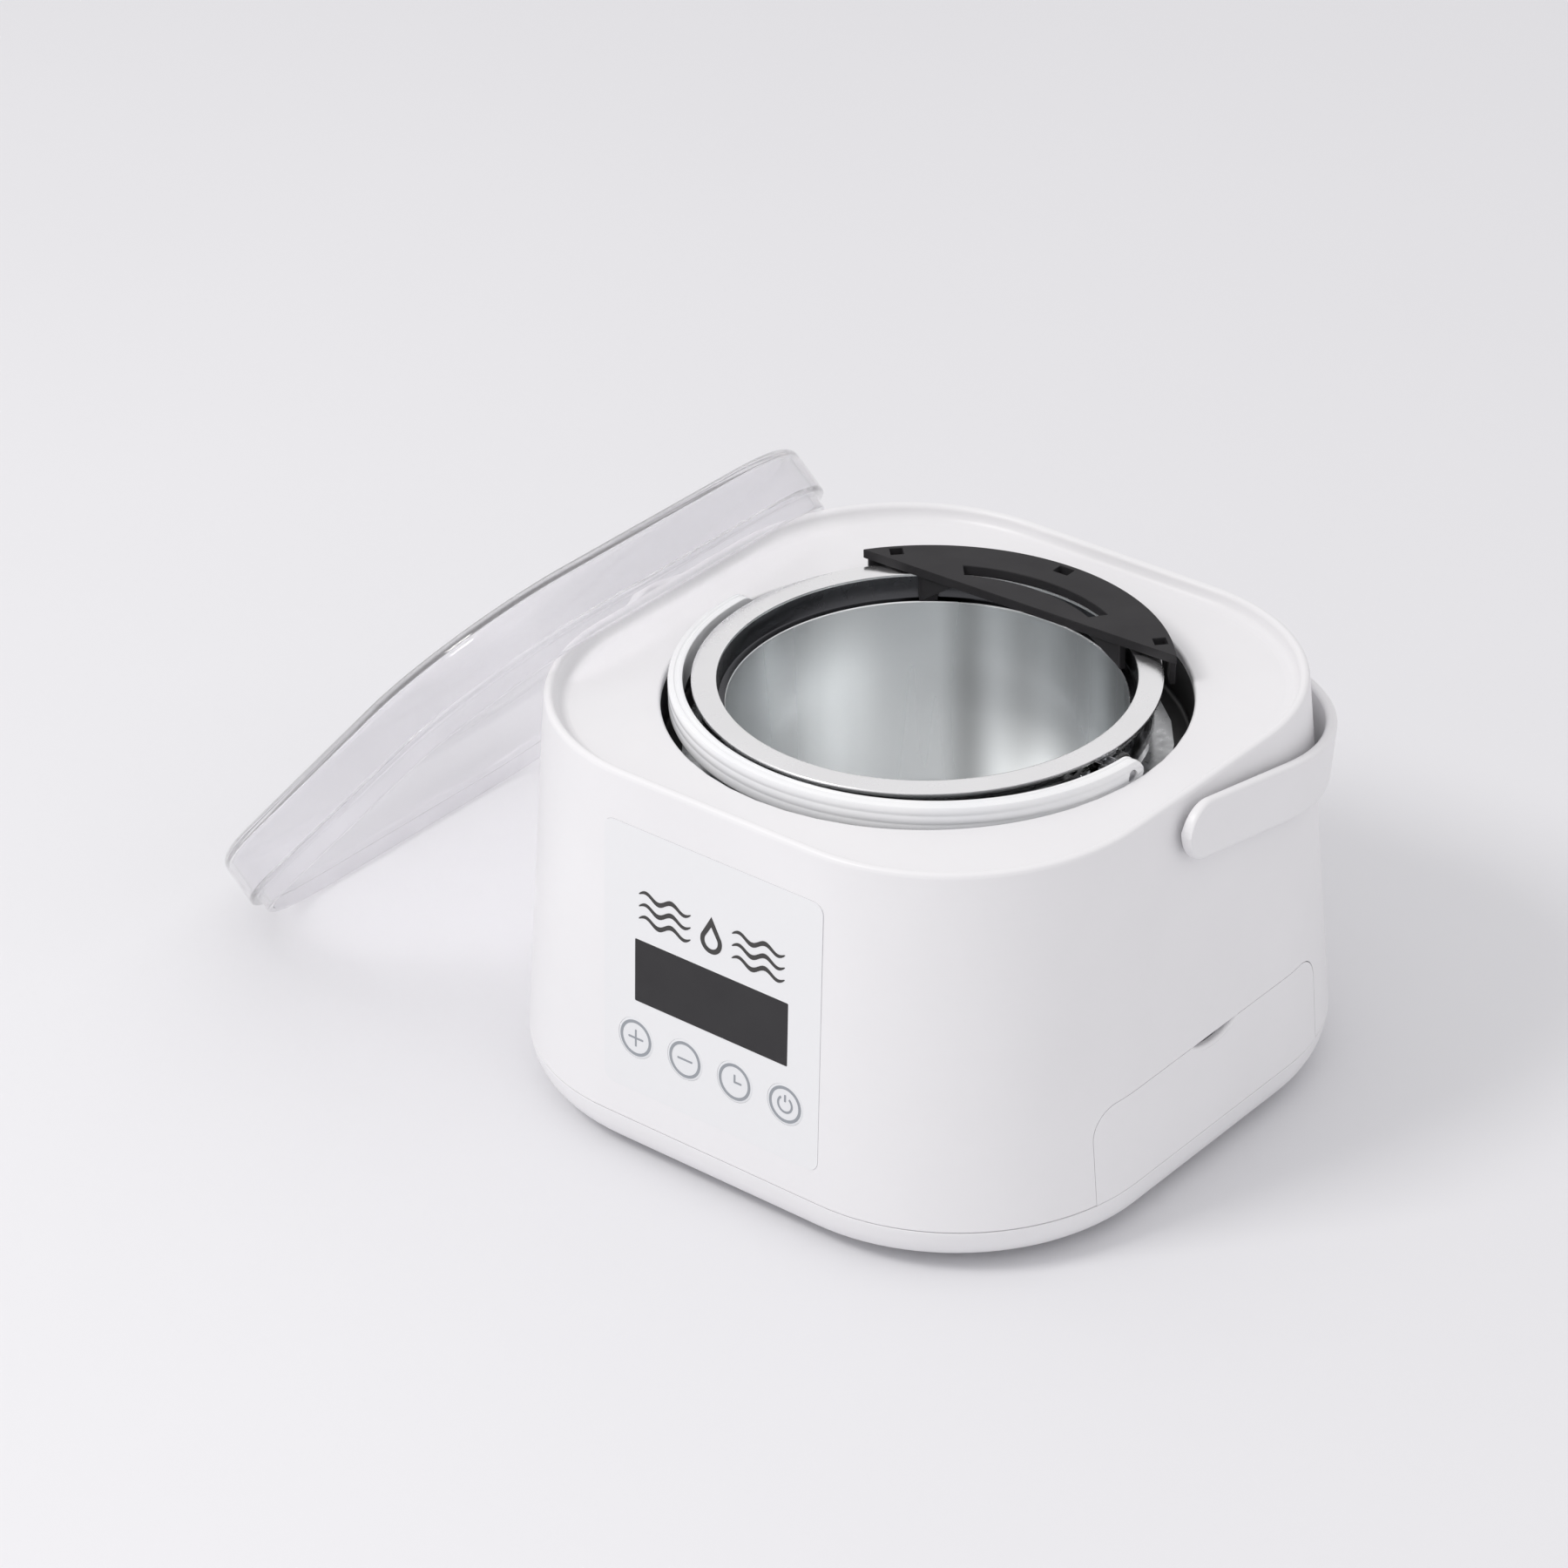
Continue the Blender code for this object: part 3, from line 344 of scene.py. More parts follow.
def moulded(name, colour, roughness, spread=0.012, grain=0.05, lines=0.0, shine=0.5):
    """Moulded plastic: faint mottling, uneven sheen, a fine spark-eroded grain and level tool lines."""
    shader = Shader(name, colour, roughness, Specular_IOR_Level=shine)
    low = [value - spread for value in colour]
    high = [value + spread for value in colour]
    shader.colour_by(shader.noise(22, 4), low, high, 0.3, 0.7)
    shader.roughness_by(shader.noise(60, 3), roughness * 0.9, roughness * 1.12)
    shader.bump(shader.noise(2600, 2), grain, 0.00004)
    shader.bump(shader.noise(35, 2), 0.02, 0.0006)
    if lines:
        shader.bump(shader.noise(6, 2, 0.6, (1, 1, 130)), lines, 0.0004)
    return shader.material


def metal(name, colour, roughness, streak=(1, 1, 1), spread=0.03, scale=700, strength=0.05):
    """Bare metal with drawn or turned streaks in its sheen and surface."""
    shader = Shader(name, colour, roughness, Metallic=1.0)
    low = [value - spread for value in colour]
    high = [min(value + spread, 1.0) for value in colour]
    shader.colour_by(shader.noise(45, 4), low, high, 0.3, 0.7)
    shader.roughness_by(shader.noise(scale, 4, 0.6, streak), roughness * 0.75, roughness * 1.3)
    shader.bump(shader.noise(scale, 3, 0.6, streak), strength, 0.00003)
    return shader.material


def speckled(name, dark, light, roughness, scale, span, bump):
    """A two-tone surface such as fibre, mica or solder-masked board.

    span is the part of the pattern that runs from dark to light, and bump holds the unevenness's
    scale, strength and distance.
    """
    shader = Shader(name, dark, roughness)
    shader.colour_by(shader.noise(scale, 5, 0.65), dark, light, *span)
    shader.roughness_by(shader.noise(scale * 2, 3), roughness * 0.85, min(roughness * 1.2, 1.0))
    bump_scale, strength, distance = bump
    shader.bump(shader.noise(bump_scale, 4), strength, distance)
    return shader.material


def clear_plastic(name, tint, roughness, share, ior=1.49, clearness=1.0, coat=0.0):
    """Clear moulded plastic: fine scuffs, a slow waviness, and a share of light let through its shadow."""
    shader = Shader(name, tint, roughness, Transmission_Weight=clearness, IOR=ior, Coat_Weight=coat,
                    Coat_Roughness=0.06)
    shader.colour_by(shader.noise(30, 3), [value - 0.01 for value in tint], tint, 0.35, 0.65)
    shader.roughness_by(shader.noise(500, 4, 0.7), roughness * 0.6, roughness * 1.6)
    shader.bump(shader.noise(40, 2), 0.03, 0.0004)
    shader.lets_light_through(share)
    return shader.material


def satin_floor():
    shader = Shader("studio_floor", (0.80, 0.80, 0.82), 0.65)
    shader.colour_by(shader.noise(2.5, 3), (0.80, 0.80, 0.822), (0.81, 0.81, 0.832))
    shader.roughness_by(shader.noise(60, 3), 0.6, 0.7)
    return shader.material


WHITE = moulded("white_housing", (0.83, 0.825, 0.84), 0.36, lines=0.06)
WHITE_INSIDE = moulded("white_inside", (0.74, 0.735, 0.75), 0.5, 0.02, 0.1)
BLACK = moulded("black_matte", (0.026, 0.025, 0.027), 0.5, 0.004, 0.4, shine=0.2)
BLACK_PART = moulded("black_part", (0.03, 0.03, 0.032), 0.42, 0.006, 0.15)
LINER = moulded("liner_black", (0.016, 0.015, 0.016), 0.38, 0.004, 0.12)
LABEL = moulded("label_film", (0.815, 0.82, 0.835), 0.34, 0.003, 0.02)
KEY_FILM = moulded("key_film", (0.785, 0.795, 0.815), 0.34, 0.003, 0.02)
PRINT_GREY = moulded("print_grey", (0.30, 0.32, 0.35), 0.4, 0.012, 0.05)
PRINT_DARK = moulded("print_dark", (0.035, 0.033, 0.032), 0.45, 0.004, 0.05)
WINDOW = moulded("display_glass", (0.018, 0.017, 0.019), 0.5, 0.002, 0.01, shine=0.4)
CHROME = metal("flange_tin", (0.94, 0.94, 0.945), 0.24, (1, 1, 1), 0.015, 160, 0.02)
BOWL_FLOOR = metal("bowl_floor", (0.84, 0.85, 0.85), 0.5, (1, 1, 1), 0.02, 600, 0.06)
NECK = metal("neck_dark", (0.075, 0.076, 0.082), 0.24, (1, 1, 1), 0.01, 90, 0.02)
ALUMINIUM = metal("spun_aluminium", (0.66, 0.67, 0.68), 0.32, (1, 1, 0.08), 0.03, 500, 0.1)
ZINC = metal("zinc_plate", (0.52, 0.52, 0.54), 0.34, (1, 1, 1), 0.05, 900, 0.15)
BRASS = metal("brass", (0.72, 0.54, 0.24), 0.28, (1, 1, 1), 0.04, 900, 0.1)
BOARD = speckled("solder_mask", (0.012, 0.10, 0.045), (0.03, 0.22, 0.10), 0.35, 420,
                 span=(0.45, 0.55), bump=(900, 0.3, 0.00004))
RUBBER = speckled("grey_rubber", (0.07, 0.07, 0.07), (0.13, 0.13, 0.13), 0.8, 300,
                  span=(0.35, 0.65), bump=(1200, 0.4, 0.00005))
WRAP = speckled("glass_fibre", (0.55, 0.50, 0.40), (0.82, 0.78, 0.68), 0.9, 900,
                span=(0.35, 0.65), bump=(1400, 0.8, 0.0002))
MICA = speckled("mica_band", (0.22, 0.14, 0.07), (0.52, 0.39, 0.24), 0.6, 260,
                span=(0.3, 0.7), bump=(500, 0.5, 0.0001))
WIRE = speckled("wire_insulation", (0.42, 0.025, 0.02), (0.58, 0.05, 0.035), 0.45, 160,
                span=(0.3, 0.7), bump=(900, 0.2, 0.00004))
LID_CLEAR = clear_plastic("lid_clear", (0.92, 0.915, 0.935), 0.10, 0.92, ior=1.09, clearness=0.86, coat=1.0)
COLLAR_CLEAR = clear_plastic("collar_clear", (0.95, 0.96, 0.98), 0.05, 0.7)
FLOOR = satin_floor()


def bowl_with_painted_reflections():
    """Bright tin with soft light and dark bands round the wall, in place of the room it reflects."""
    shader = Shader("bowl_wall_painted_reflections", (0.80, 0.815, 0.83), 0.3, Metallic=1.0)
    nodes = shader.tree.nodes
    about_axis = nodes.new("ShaderNodeMapping")
    about_axis.inputs["Location"].default_value = -BODY_AT * MM
    shader.link(shader.coordinates, about_axis.inputs["Vector"])
    bearing = nodes.new("ShaderNodeTexGradient")
    bearing.gradient_type = "RADIAL"
    shader.link(about_axis.outputs["Vector"], bearing.inputs["Vector"])
    # Painted reflection: light and dark bands by bearing round the pot's axis, put into the base colour
    reflection_bands = nodes.new("ShaderNodeValToRGB")
    reflection_bands.color_ramp.interpolation = "EASE"
    stops = reflection_bands.color_ramp.elements
    for angle, _ in BOWL_REFLECTION_BANDS[1:-1]:
        stops.new(0.5 + angle / 360)
    for stop, (angle, grey) in zip(stops, BOWL_REFLECTION_BANDS):
        stop.position = 0.5 + angle / 360
        stop.color = (*(grey * tint for tint in BOWL_REFLECTION_TINT), 1)
    shader.link(bearing.outputs["Fac"], reflection_bands.inputs["Fac"])
    shader.link(reflection_bands.outputs["Color"], shader.principled.inputs["Base Color"])
    shader.roughness_by(shader.noise(48, 2, 0.5, (1, 1, 0.08)), 0.2, 0.36)
    shader.bump(shader.noise(120, 2, 0.5, (1, 1, 0.04)), 0.03, 0.0001)
    return shader.material


BOWL = bowl_with_painted_reflections()


def bail_plastic():
    """Milky clear plastic: light gets in, but little shows through."""
    shader = Shader("bail_milky", (0.97, 0.975, 0.99), 0.16, Transmission_Weight=0.12, IOR=1.42)
    shader.colour_by(shader.noise(50, 3), (0.955, 0.965, 0.985), (0.98, 0.985, 0.995))
    shader.roughness_by(shader.noise(240, 3), 0.1, 0.22)
    shader.bump(shader.noise(60, 2), 0.04, 0.0004)
    shader.lets_light_through(0.4)
    return shader.material


BAIL = bail_plastic()


# ---------------------------------------------------------------- building blocks


def linked(name, mesh):
    obj = bpy.data.objects.new(name, mesh)
    bpy.context.scene.collection.objects.link(obj)
    return obj


def raw(name, bm):
    """A plain object from a bmesh, used as a blank or a cutter."""
    bmesh.ops.recalc_face_normals(bm, faces=bm.faces)
    mesh = bpy.data.meshes.new(name)
    bm.to_mesh(mesh)
    bm.free()
    return linked(name, mesh)


def bake_modifiers(obj):
    """Applies an object's modifiers to its mesh."""
    bpy.context.view_layer.update()
    graph = bpy.context.evaluated_depsgraph_get()
    mesh = bpy.data.meshes.new_from_object(obj.evaluated_get(graph))
    obj.modifiers.clear()
    obj.data = mesh
    return obj


def cut(obj, cutters, operation="DIFFERENCE"):
    """Cuts other objects out of one, or adds them to it, and uses them up."""
    for cutter in cutters:
        mod = obj.modifiers.new(cutter.name, "BOOLEAN")
        mod.operation = operation
        mod.solver = "EXACT"
        mod.object = cutter
    bake_modifiers(obj)
    for cutter in cutters:
        bpy.data.objects.remove(cutter)
    return obj


def bevelled(obj, width, segments=3, angle=40):
    weld = obj.modifiers.new("weld", "WELD")
    weld.merge_threshold = 0.001
    mod = obj.modifiers.new("edges", "BEVEL")
    mod.width = width
    mod.segments = segments
    mod.limit_method = "ANGLE"
    mod.angle_limit = math.radians(angle)
    return bake_modifiers(obj)


def finished(obj, placing, materials, body, nodes, sharp=32, weighted=True):
    """Shades a blank, moves it into the frame, and puts it in place of its CAD nodes."""
    mesh = obj.data
    mesh.transform(obj.matrix_world)
    obj.matrix_world = Matrix.Identity(4)
    mesh.transform(Matrix.Scale(MM, 4) @ placing)
    mesh.polygons.foreach_set("use_smooth", [True] * len(mesh.polygons))
    mesh.set_sharp_from_angle(angle=math.radians(sharp))
    mesh.materials.clear()
    for material in materials:
        mesh.materials.append(material)
    if weighted:
        mod = obj.modifiers.new("shading", "WEIGHTED_NORMAL")
        mod.keep_sharp = True
    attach(obj, body)
    if nodes:
        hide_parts(*nodes)
    return obj


def softened(points):
    """Points on a smooth curve through a profile."""
    per_span = 4
    curve = []
    last = len(points) - 1
    for i in range(last):
        p0, p1, p2, p3 = (Vector(points[min(max(k, 0), last)]) for k in (i - 1, i, i + 1, i + 2))
        for step in range(per_span):
            t = step / per_span
            curve.append(tuple(0.5 * (2 * p1 + (p2 - p0) * t + (2 * p0 - 5 * p1 + 4 * p2 - p3) * t**2
                                      + (3 * p1 - p0 - 3 * p2 + p3) * t**3)))
    return curve + [tuple(points[-1])]


def arc(centre, radius, start, end, steps, squash=1.0):
    angles = [math.radians(start + (end - start) * i / steps) for i in range(steps + 1)]
    return [(centre[0] + radius * math.cos(a), centre[1] + radius * squash * math.sin(a)) for a in angles]


def rounded_rectangle(half_x, half_z, radius, steps=8, centre=(0, 0)):
    points = []
    for start, (sx, sz) in zip((0, 90, 180, 270), ((1, 1), (-1, 1), (-1, -1), (1, -1))):
        middle = (centre[0] + sx * (half_x - radius), centre[1] + sz * (half_z - radius))
        points += arc(middle, radius, start, start + 90, steps)
    return points


def square_outline(half_x, radius=CORNER_R):
    """A rounded square seen from above, with points along its sides, anticlockwise from +X."""
    half_y = half_x + DEEPER_THAN_WIDE
    corners = [
        arc((sx * (half_x - radius), sy * (half_y - radius)), radius, start, start + 90, CORNER_STEPS)
        for start, (sx, sy) in zip((0, 90, 180, 270), ((1, 1), (-1, 1), (-1, -1), (1, -1)))
    ]
    points = []
    for corner, following in zip(corners, corners[1:] + corners[:1]):
        points += corner
        start, end = Vector(corner[-1]), Vector(following[0])
        points += [tuple(start.lerp(end, i / SIDE_STEPS)) for i in range(1, SIDE_STEPS)]
    return points


def circle_outline(radius):
    """A circle whose points match a rounded square's, direction for direction."""
    around = square_outline(SEAM_HALF)
    return [(radius * x / math.hypot(x, y), radius * y / math.hypot(x, y)) for x, y in around]


def loft(name, sections, ring=False):
    """A skin through outlines at given heights: a ring's last joins its first, else both ends are capped."""
    bm = bmesh.new()
    rows = [[bm.verts.new((x, y, z)) for x, y in outline] for outline, z in sections]
    for lower, upper in zip(rows, rows[1:] + (rows[:1] if ring else [])):
        for i in range(len(lower)):
            j = (i + 1) % len(lower)
            bm.faces.new((lower[i], lower[j], upper[j], upper[i]))
    if not ring:
        bm.faces.new(rows[0])
        bm.faces.new(rows[-1])
    return raw(name, bm)


def box(name, low, high, placing=None):
    low, high = Vector(low), Vector(high)
    bm = bmesh.new()
    bmesh.ops.create_cube(bm, size=1.0)
    matrix = Matrix.Translation((low + high) / 2) @ Matrix.Diagonal((*(high - low), 1.0))
    bmesh.ops.transform(bm, matrix=(placing or Matrix.Identity(4)) @ matrix, verts=bm.verts)
    return raw(name, bm)


def rod(name, radius, start, end, steps=48):
    """A round bar between two points."""
    start, end = Vector(start), Vector(end)
    along = end - start
    facing = along.to_track_quat("Z", "Y").to_matrix().to_4x4()
    bm = bmesh.new()
    bmesh.ops.create_cone(
        bm, cap_ends=True, segments=steps, radius1=radius, radius2=radius, depth=along.length,
        matrix=Matrix.Translation((start + end) / 2) @ facing)
    return raw(name, bm)


def turned(name, profile, closed=False, steps=ROUND_STEPS, placing=None):
    """A profile in the XZ plane turned about Z."""
    bm = bmesh.new()
    rows = []
    for radius, z in profile:
        if radius < 1e-6:
            rows.append([bm.verts.new((0, 0, z))])
        else:
            angles = [2 * math.pi * i / steps for i in range(steps)]
            rows.append([bm.verts.new((radius * math.cos(a), radius * math.sin(a), z)) for a in angles])
    for first, second in zip(rows, rows[1:] + (rows[:1] if closed else [])):
        for i in range(steps):
            j = (i + 1) % steps
            corners = [row[k % len(row)] for row, k in ((first, i), (first, j), (second, j), (second, i))]
            corners = list(dict.fromkeys(corners))
            if len(corners) > 2:
                bm.faces.new(corners)
    if placing:
        bmesh.ops.transform(bm, matrix=placing, verts=bm.verts)
    return raw(name, bm)


def plate(name, outline, y_low, y_high, placing=None):
    """An outline in the XZ plane, extruded along Y."""
    bm = bmesh.new()
    face = bm.faces.new([bm.verts.new((x, y_low, z)) for x, z in outline])
    grown = bmesh.ops.extrude_face_region(bm, geom=[face])["geom"]
    moved = [v for v in grown if isinstance(v, bmesh.types.BMVert)]
    bmesh.ops.translate(bm, verts=moved, vec=(0, y_high - y_low, 0))
    if placing:
        bmesh.ops.transform(bm, matrix=placing, verts=bm.verts)
    return raw(name, bm)


def band(name, outer, inner, y_low, y_high):
    """A closed ring between two matching outlines in the XZ plane, extruded along Y."""
    bm = bmesh.new()
    rows = [[bm.verts.new((x, y, z)) for x, z in outline]
            for outline, y in ((outer, y_low), (outer, y_high), (inner, y_high), (inner, y_low))]
    for first, second in zip(rows, rows[1:] + rows[:1]):
        for i in range(len(first)):
            j = (i + 1) % len(first)
            bm.faces.new((first[i], first[j], second[j], second[i]))
    return raw(name, bm)


def joined(name, objects):
    """One object from several."""
    bm = bmesh.new()
    for obj in objects:
        bm.from_mesh(obj.data)
        bpy.data.objects.remove(obj)
    mesh = bpy.data.meshes.new(name)
    bm.to_mesh(mesh)
    bm.free()
    return linked(name, mesh)


def strap(name, path, half_heights, section_of):
    """A strap on edge along a plan path, its section given for each half height."""
    bm = bmesh.new()
    rows = []
    last = len(path) - 1
    for i, (point, half) in enumerate(zip(path, half_heights)):
        ahead = Vector(path[min(i + 1, last)]) - Vector(path[max(i - 1, 0)])
        outwards = Vector((ahead.y, -ahead.x)).normalized()
        rows.append([bm.verts.new((point[0] + outwards.x * d, point[1] + outwards.y * d, z))
                     for d, z in section_of(half)])
    for first, second in zip(rows, rows[1:]):
        for i in range(len(first)):
            j = (i + 1) % len(first)
            bm.faces.new((first[i], first[j], second[j], second[i]))
    bm.faces.new(rows[0])
    bm.faces.new(rows[-1])
    return raw(name, bm)


def pill_end(length, half, steps):
    """(distance past the pivot, half height) from a strap's tip to where its full height starts."""
    angles = [math.radians(90 * i / steps) for i in range(steps)]
    return [(length * math.cos(a), max(half * math.sin(a), 0.10 * half)) for a in angles]


# ---------------------------------------------------------------- housing

SCREW_SPOTS = [(sx * 58, sy * 56) for sx in (-1, 1) for sy in (-1, 1)]
INLET_X = -22.0
INLET_Z = 27.0
SIDEWAYS = Matrix.Translation((60, 0, 0)) @ turned_by("Z", -math.pi / 2)


def panel_local(obj):
    """Moves a blank from the panel's frame to the housing's."""
    obj.data.transform(BODY.inverted() @ PANEL)
    return obj


def label_outline(clearance):
    centre_z = (LABEL_LOW_Z + LABEL_HIGH_Z) / 2
    half_z = (LABEL_HIGH_Z - LABEL_LOW_Z) / 2
    return rounded_rectangle(LABEL_HALF_X + clearance, half_z + clearance, 3.0 + clearance, 8, (0, centre_z))


def window_outline(clearance):
    centre_z = (WINDOW_LOW_Z + WINDOW_HIGH_Z) / 2
    half_z = (WINDOW_HIGH_Z - WINDOW_LOW_Z) / 2
    return rounded_rectangle(WINDOW_HALF_X + clearance, half_z + clearance, 0.35, 4, (0, centre_z))


def drawer_outline(clearance, bottom):
    """The drawer front seen from the side, its top corners rounded."""
    half, top, radius = DRAWER_HALF_Y + clearance, DRAWER_TOP_Z + clearance, DRAWER_CORNER_R
    return ([(half, bottom)] + arc((half - radius, top - radius), radius, 0, 90, 12)
            + arc((radius - half, top - radius), radius, 90, 180, 12) + [(-half, bottom)])


def make_shell():
    top = half_width(RIM_Z)
    rim = softened([(0.0, 1.3), (0.35, 0.4), (1.2, 0.0), (2.0, 0.2), (2.5, 0.9), (2.7, 2.0), (3.3, 3.2),
                    (4.4, 4.0), (6.2, 4.3)])
    low = SEAM_Z + SEAM_GAP
    sections = [(square_outline(half_width(low) - inset), low + rise)
                for inset, rise in ((0.25, 0), (0.07, 0.07), (0, 0.25))]
    sections += [(square_outline(half_width(z)), z) for z in (29, 45, 61, 78, 94)]
    sections += [(square_outline(top - inset, CORNER_R - inset), RIM_Z - drop) for inset, drop in rim]
    sections += [(square_outline(top - 9.0, 46), DECK_Z), (circle_outline(OPENING_R + 2.4), DECK_Z)]
    sections += [(circle_outline(r), z) for r, z in arc((OPENING_R + 0.8, DECK_Z - 0.8), 0.8, 90, 180, 5)]
    inside = top - WALL
    sections += [(circle_outline(OPENING_R), DECK_Z - WALL), (square_outline(inside - 1.5), DECK_Z - WALL),
                 (square_outline(inside), DECK_Z - WALL - 1.5)]
    sections += [(square_outline(half_width(z) - WALL), z) for z in (78, 45, low)]
    shell = loft("outer_shell_fine", sections, ring=True)
    added, cutters = [], []
    for i, (x, y) in enumerate(SCREW_SPOTS):
        added.append(rod(f"post_{i}", 4.2, (x, y, 9.4), (x, y, 34)))
        turn = Matrix.Translation((x, y, 0)) @ turned_by("Z", math.atan2(y / abs(y), x / abs(x)))
        added.append(box(f"rib_{i}", (2, -1.1, 17), (20.6, 1.1, 33), turn))
        cutters.append(rod(f"pilot_{i}", 1.8, (x, y, 8), (x, y, 30)))
    cut(shell, added, "UNION")
    cutters.append(panel_local(plate("label_pocket", label_outline(0.05), -3, 0.7)))
    cutters.append(panel_local(box("panel_opening", (-30.5, -1, -27), (30.5, 6, 14))))
    cutters.append(plate("drawer_hole", drawer_outline(0.1, SEAM_Z - 8), 0, 40, SIDEWAYS))
    cutters.append(plate("inlet_hole", rounded_rectangle(9.3, 5.3, 5.2, 8), -20, 20,
                         Matrix.Translation((INLET_X, 85, INLET_Z))))
    cutters.append(rod("pin_hole", HANDLE_BORE_R, (-95, HANDLE_Y, HANDLE_Z), (95, HANDLE_Y, HANDLE_Z)))
    cut(shell, cutters)
    return finished(shell, BODY, [WHITE], "housing", ["outer_shell"])


def make_base():
    rounding = softened([(8.0, BASE_Z), (4.4, 3.5), (2.2, 5.2), (0.8, 8.0), (0.2, 11.0), (0.0, 12.75)])
    rounding += [(0.07, 12.93), (0.25, SEAM_Z)]
    inside = [(2.8, SEAM_Z), (2.8, 16), (4.8, 16), (5.2, 7.0), (6.6, 5.3)]
    base = loft("base_pan_fine", [(square_outline(SEAM_HALF - inset), z) for inset, z in rounding + inside])
    cut(base, [rod(f"boss_{i}", 5.0, (x, y, 4), (x, y, 9)) for i, (x, y) in enumerate(SCREW_SPOTS)], "UNION")
    cutters = [rod(f"sink_{i}", 3.5, (x, y, 0), (x, y, 5.6)) for i, (x, y) in enumerate(SCREW_SPOTS)]
    cutters += [rod(f"bore_{i}", 1.8, (x, y, 2), (x, y, 12)) for i, (x, y) in enumerate(SCREW_SPOTS)]
    cut(base, cutters)
    return finished(base, BODY, [WHITE], "housing", ["base_pan"])


def make_liner():
    profile = [(68.2, 102.4), (68.2, 88.6), (57.4, 88.6), (57.4, 90.6)]
    profile += arc((65.4, 91.8), 1.2, -90, 0, 5) + [(66.6, 102.4)]
    liner = turned("well_liner_fine", profile, closed=True)
    return finished(liner, BODY, [LINER], "housing", ["well_liner"])


def make_panel():
    label = plate("control_label_fine", label_outline(0), -0.1, 0.4)
    cutters = [plate("window_hole", window_outline(0.04), -1, 1)]
    for i in range(len(KEY_KINDS)):
        x = (i - 1.5) * KEY_PITCH
        cutters.append(rod(f"key_hole_{i}", KEY_R + 0.04, (x, -1, KEY_ROW_Z), (x, 2, KEY_ROW_Z), 64))
    cut(label, cutters)
    finished(label, PANEL, [LABEL], "housing", ["control_label"], weighted=False)
    window = plate("display_window_fine", window_outline(0), -0.12, 1.2)
    finished(bevelled(window, 0.05, 2), PANEL, [WINDOW], "housing", ["display_window"])


def wave(name, start, height, length, y_low, y_high):
    """A printed wavy stroke, tapered at both ends."""
    steps = 36
    upper, lower = [], []
    for i in range(steps + 1):
        t = i / steps
        x, z = start + length * t, MARK_Z + height + 0.9 * math.sin(4 * math.pi * t)
        half = 0.12 + 0.55 * math.sin(math.pi * t) ** 0.5
        upper.append((x, z + half))
        lower.append((x, z - half))
    return plate(name, upper + lower[::-1], y_low, y_high)


def make_mark():
    """A plain wax drop between heat waves, printed above the display."""
    drop = [(0, MARK_Z + 5.4)] + arc((0, MARK_Z - 1.4), 3.4, 38, -218, 60)
    inner = [(0, MARK_Z + 2.6)] + arc((0, MARK_Z - 1.4), 2.1, 35, -215, 40)
    pieces = [cut(plate("drop", drop, *MARK_PRINT_Y), [plate("drop_inside", inner, -1, 1)])]
    for start in (-23.0, 6.5):
        pieces += [wave("wave", start, height, 16.5, *MARK_PRINT_Y) for height in (-3.4, 0, 3.4)]
    finished(joined("printed_mark", pieces), PANEL, [PRINT_DARK], "housing", [])


def stroke_ring(name, x, outer, inner, y_low, y_high, start=0, end=360):
    """A printed ring or arc around a point of the key row."""
    if end - start >= 360:
        return band(name, arc((x, KEY_ROW_Z), outer, 0, 357, 119), arc((x, KEY_ROW_Z), inner, 0, 357, 119),
                    y_low, y_high)
    outline = arc((x, KEY_ROW_Z), outer, start, end, 60) + arc((x, KEY_ROW_Z), inner, end, start, 60)
    return plate(name, outline, y_low, y_high)


def bar(name, x, low, high, y_low, y_high):
    """A printed bar between two corners, with rounded ends, placed about a point of the key row."""
    half_x, half_z = (high[0] - low[0]) / 2, (high[1] - low[1]) / 2
    centre = (x + (low[0] + high[0]) / 2, KEY_ROW_Z + (low[1] + high[1]) / 2)
    return plate(name, rounded_rectangle(half_x, half_z, min(half_x, half_z) * 0.6, 4, centre), y_low, y_high)


def key_marks(kind, x, y_low, y_high):
    """The mark inside a key's ring."""
    half = 0.28
    if kind == "plus":
        across = bar("mark", x, (-2.4, -half), (2.4, half), y_low, y_high)
        return [cut(across, [bar("upright", x, (-half, -2.4), (half, 2.4), y_low, y_high)], "UNION")]
    if kind == "minus":
        return [bar("mark", x, (-2.4, -half), (2.4, half), y_low, y_high)]
    if kind == "timer":
        hand = bar("mark", x, (-half, -half), (half, 2.1), y_low, y_high)
        return [cut(hand, [bar("hour", x, (-half, -half), (2.2, half), y_low, y_high)], "UNION")]
    return [stroke_ring("mark", x, 2.45, 1.85, y_low, y_high, 125, 415),
            bar("stem", x, (-0.3, 0.7), (0.3, 2.7), y_low, y_high)]


def make_keys():
    """Four round caps with stems behind them, each printed with a ring and a mark."""
    profile = [(0, 0.15), (KEY_R - 0.5, 0.13), (KEY_R - 0.1, 0.08), (KEY_R, 0.0), (KEY_R, -0.5), (1.6, -0.5)]
    profile += [(1.6, -2.4), (0, -2.4)]
    for i, kind in enumerate(KEY_KINDS):
        x = (i - 1.5) * KEY_PITCH
        name = f"key_{kind}"
        place = Matrix.Translation((x, 0, KEY_ROW_Z)) @ turned_by("X", math.pi / 2)
        cap = turned(name + "_fine", profile, steps=96, placing=place)
        finished(cap, PANEL, [KEY_FILM], name, [name])
        printed = [stroke_ring("ring", x, 5.0, 4.2, *KEY_PRINT_Y)] + key_marks(kind, x, *KEY_PRINT_Y)
        finished(joined(name + "_print", printed), PANEL, [PRINT_GREY], name, [])


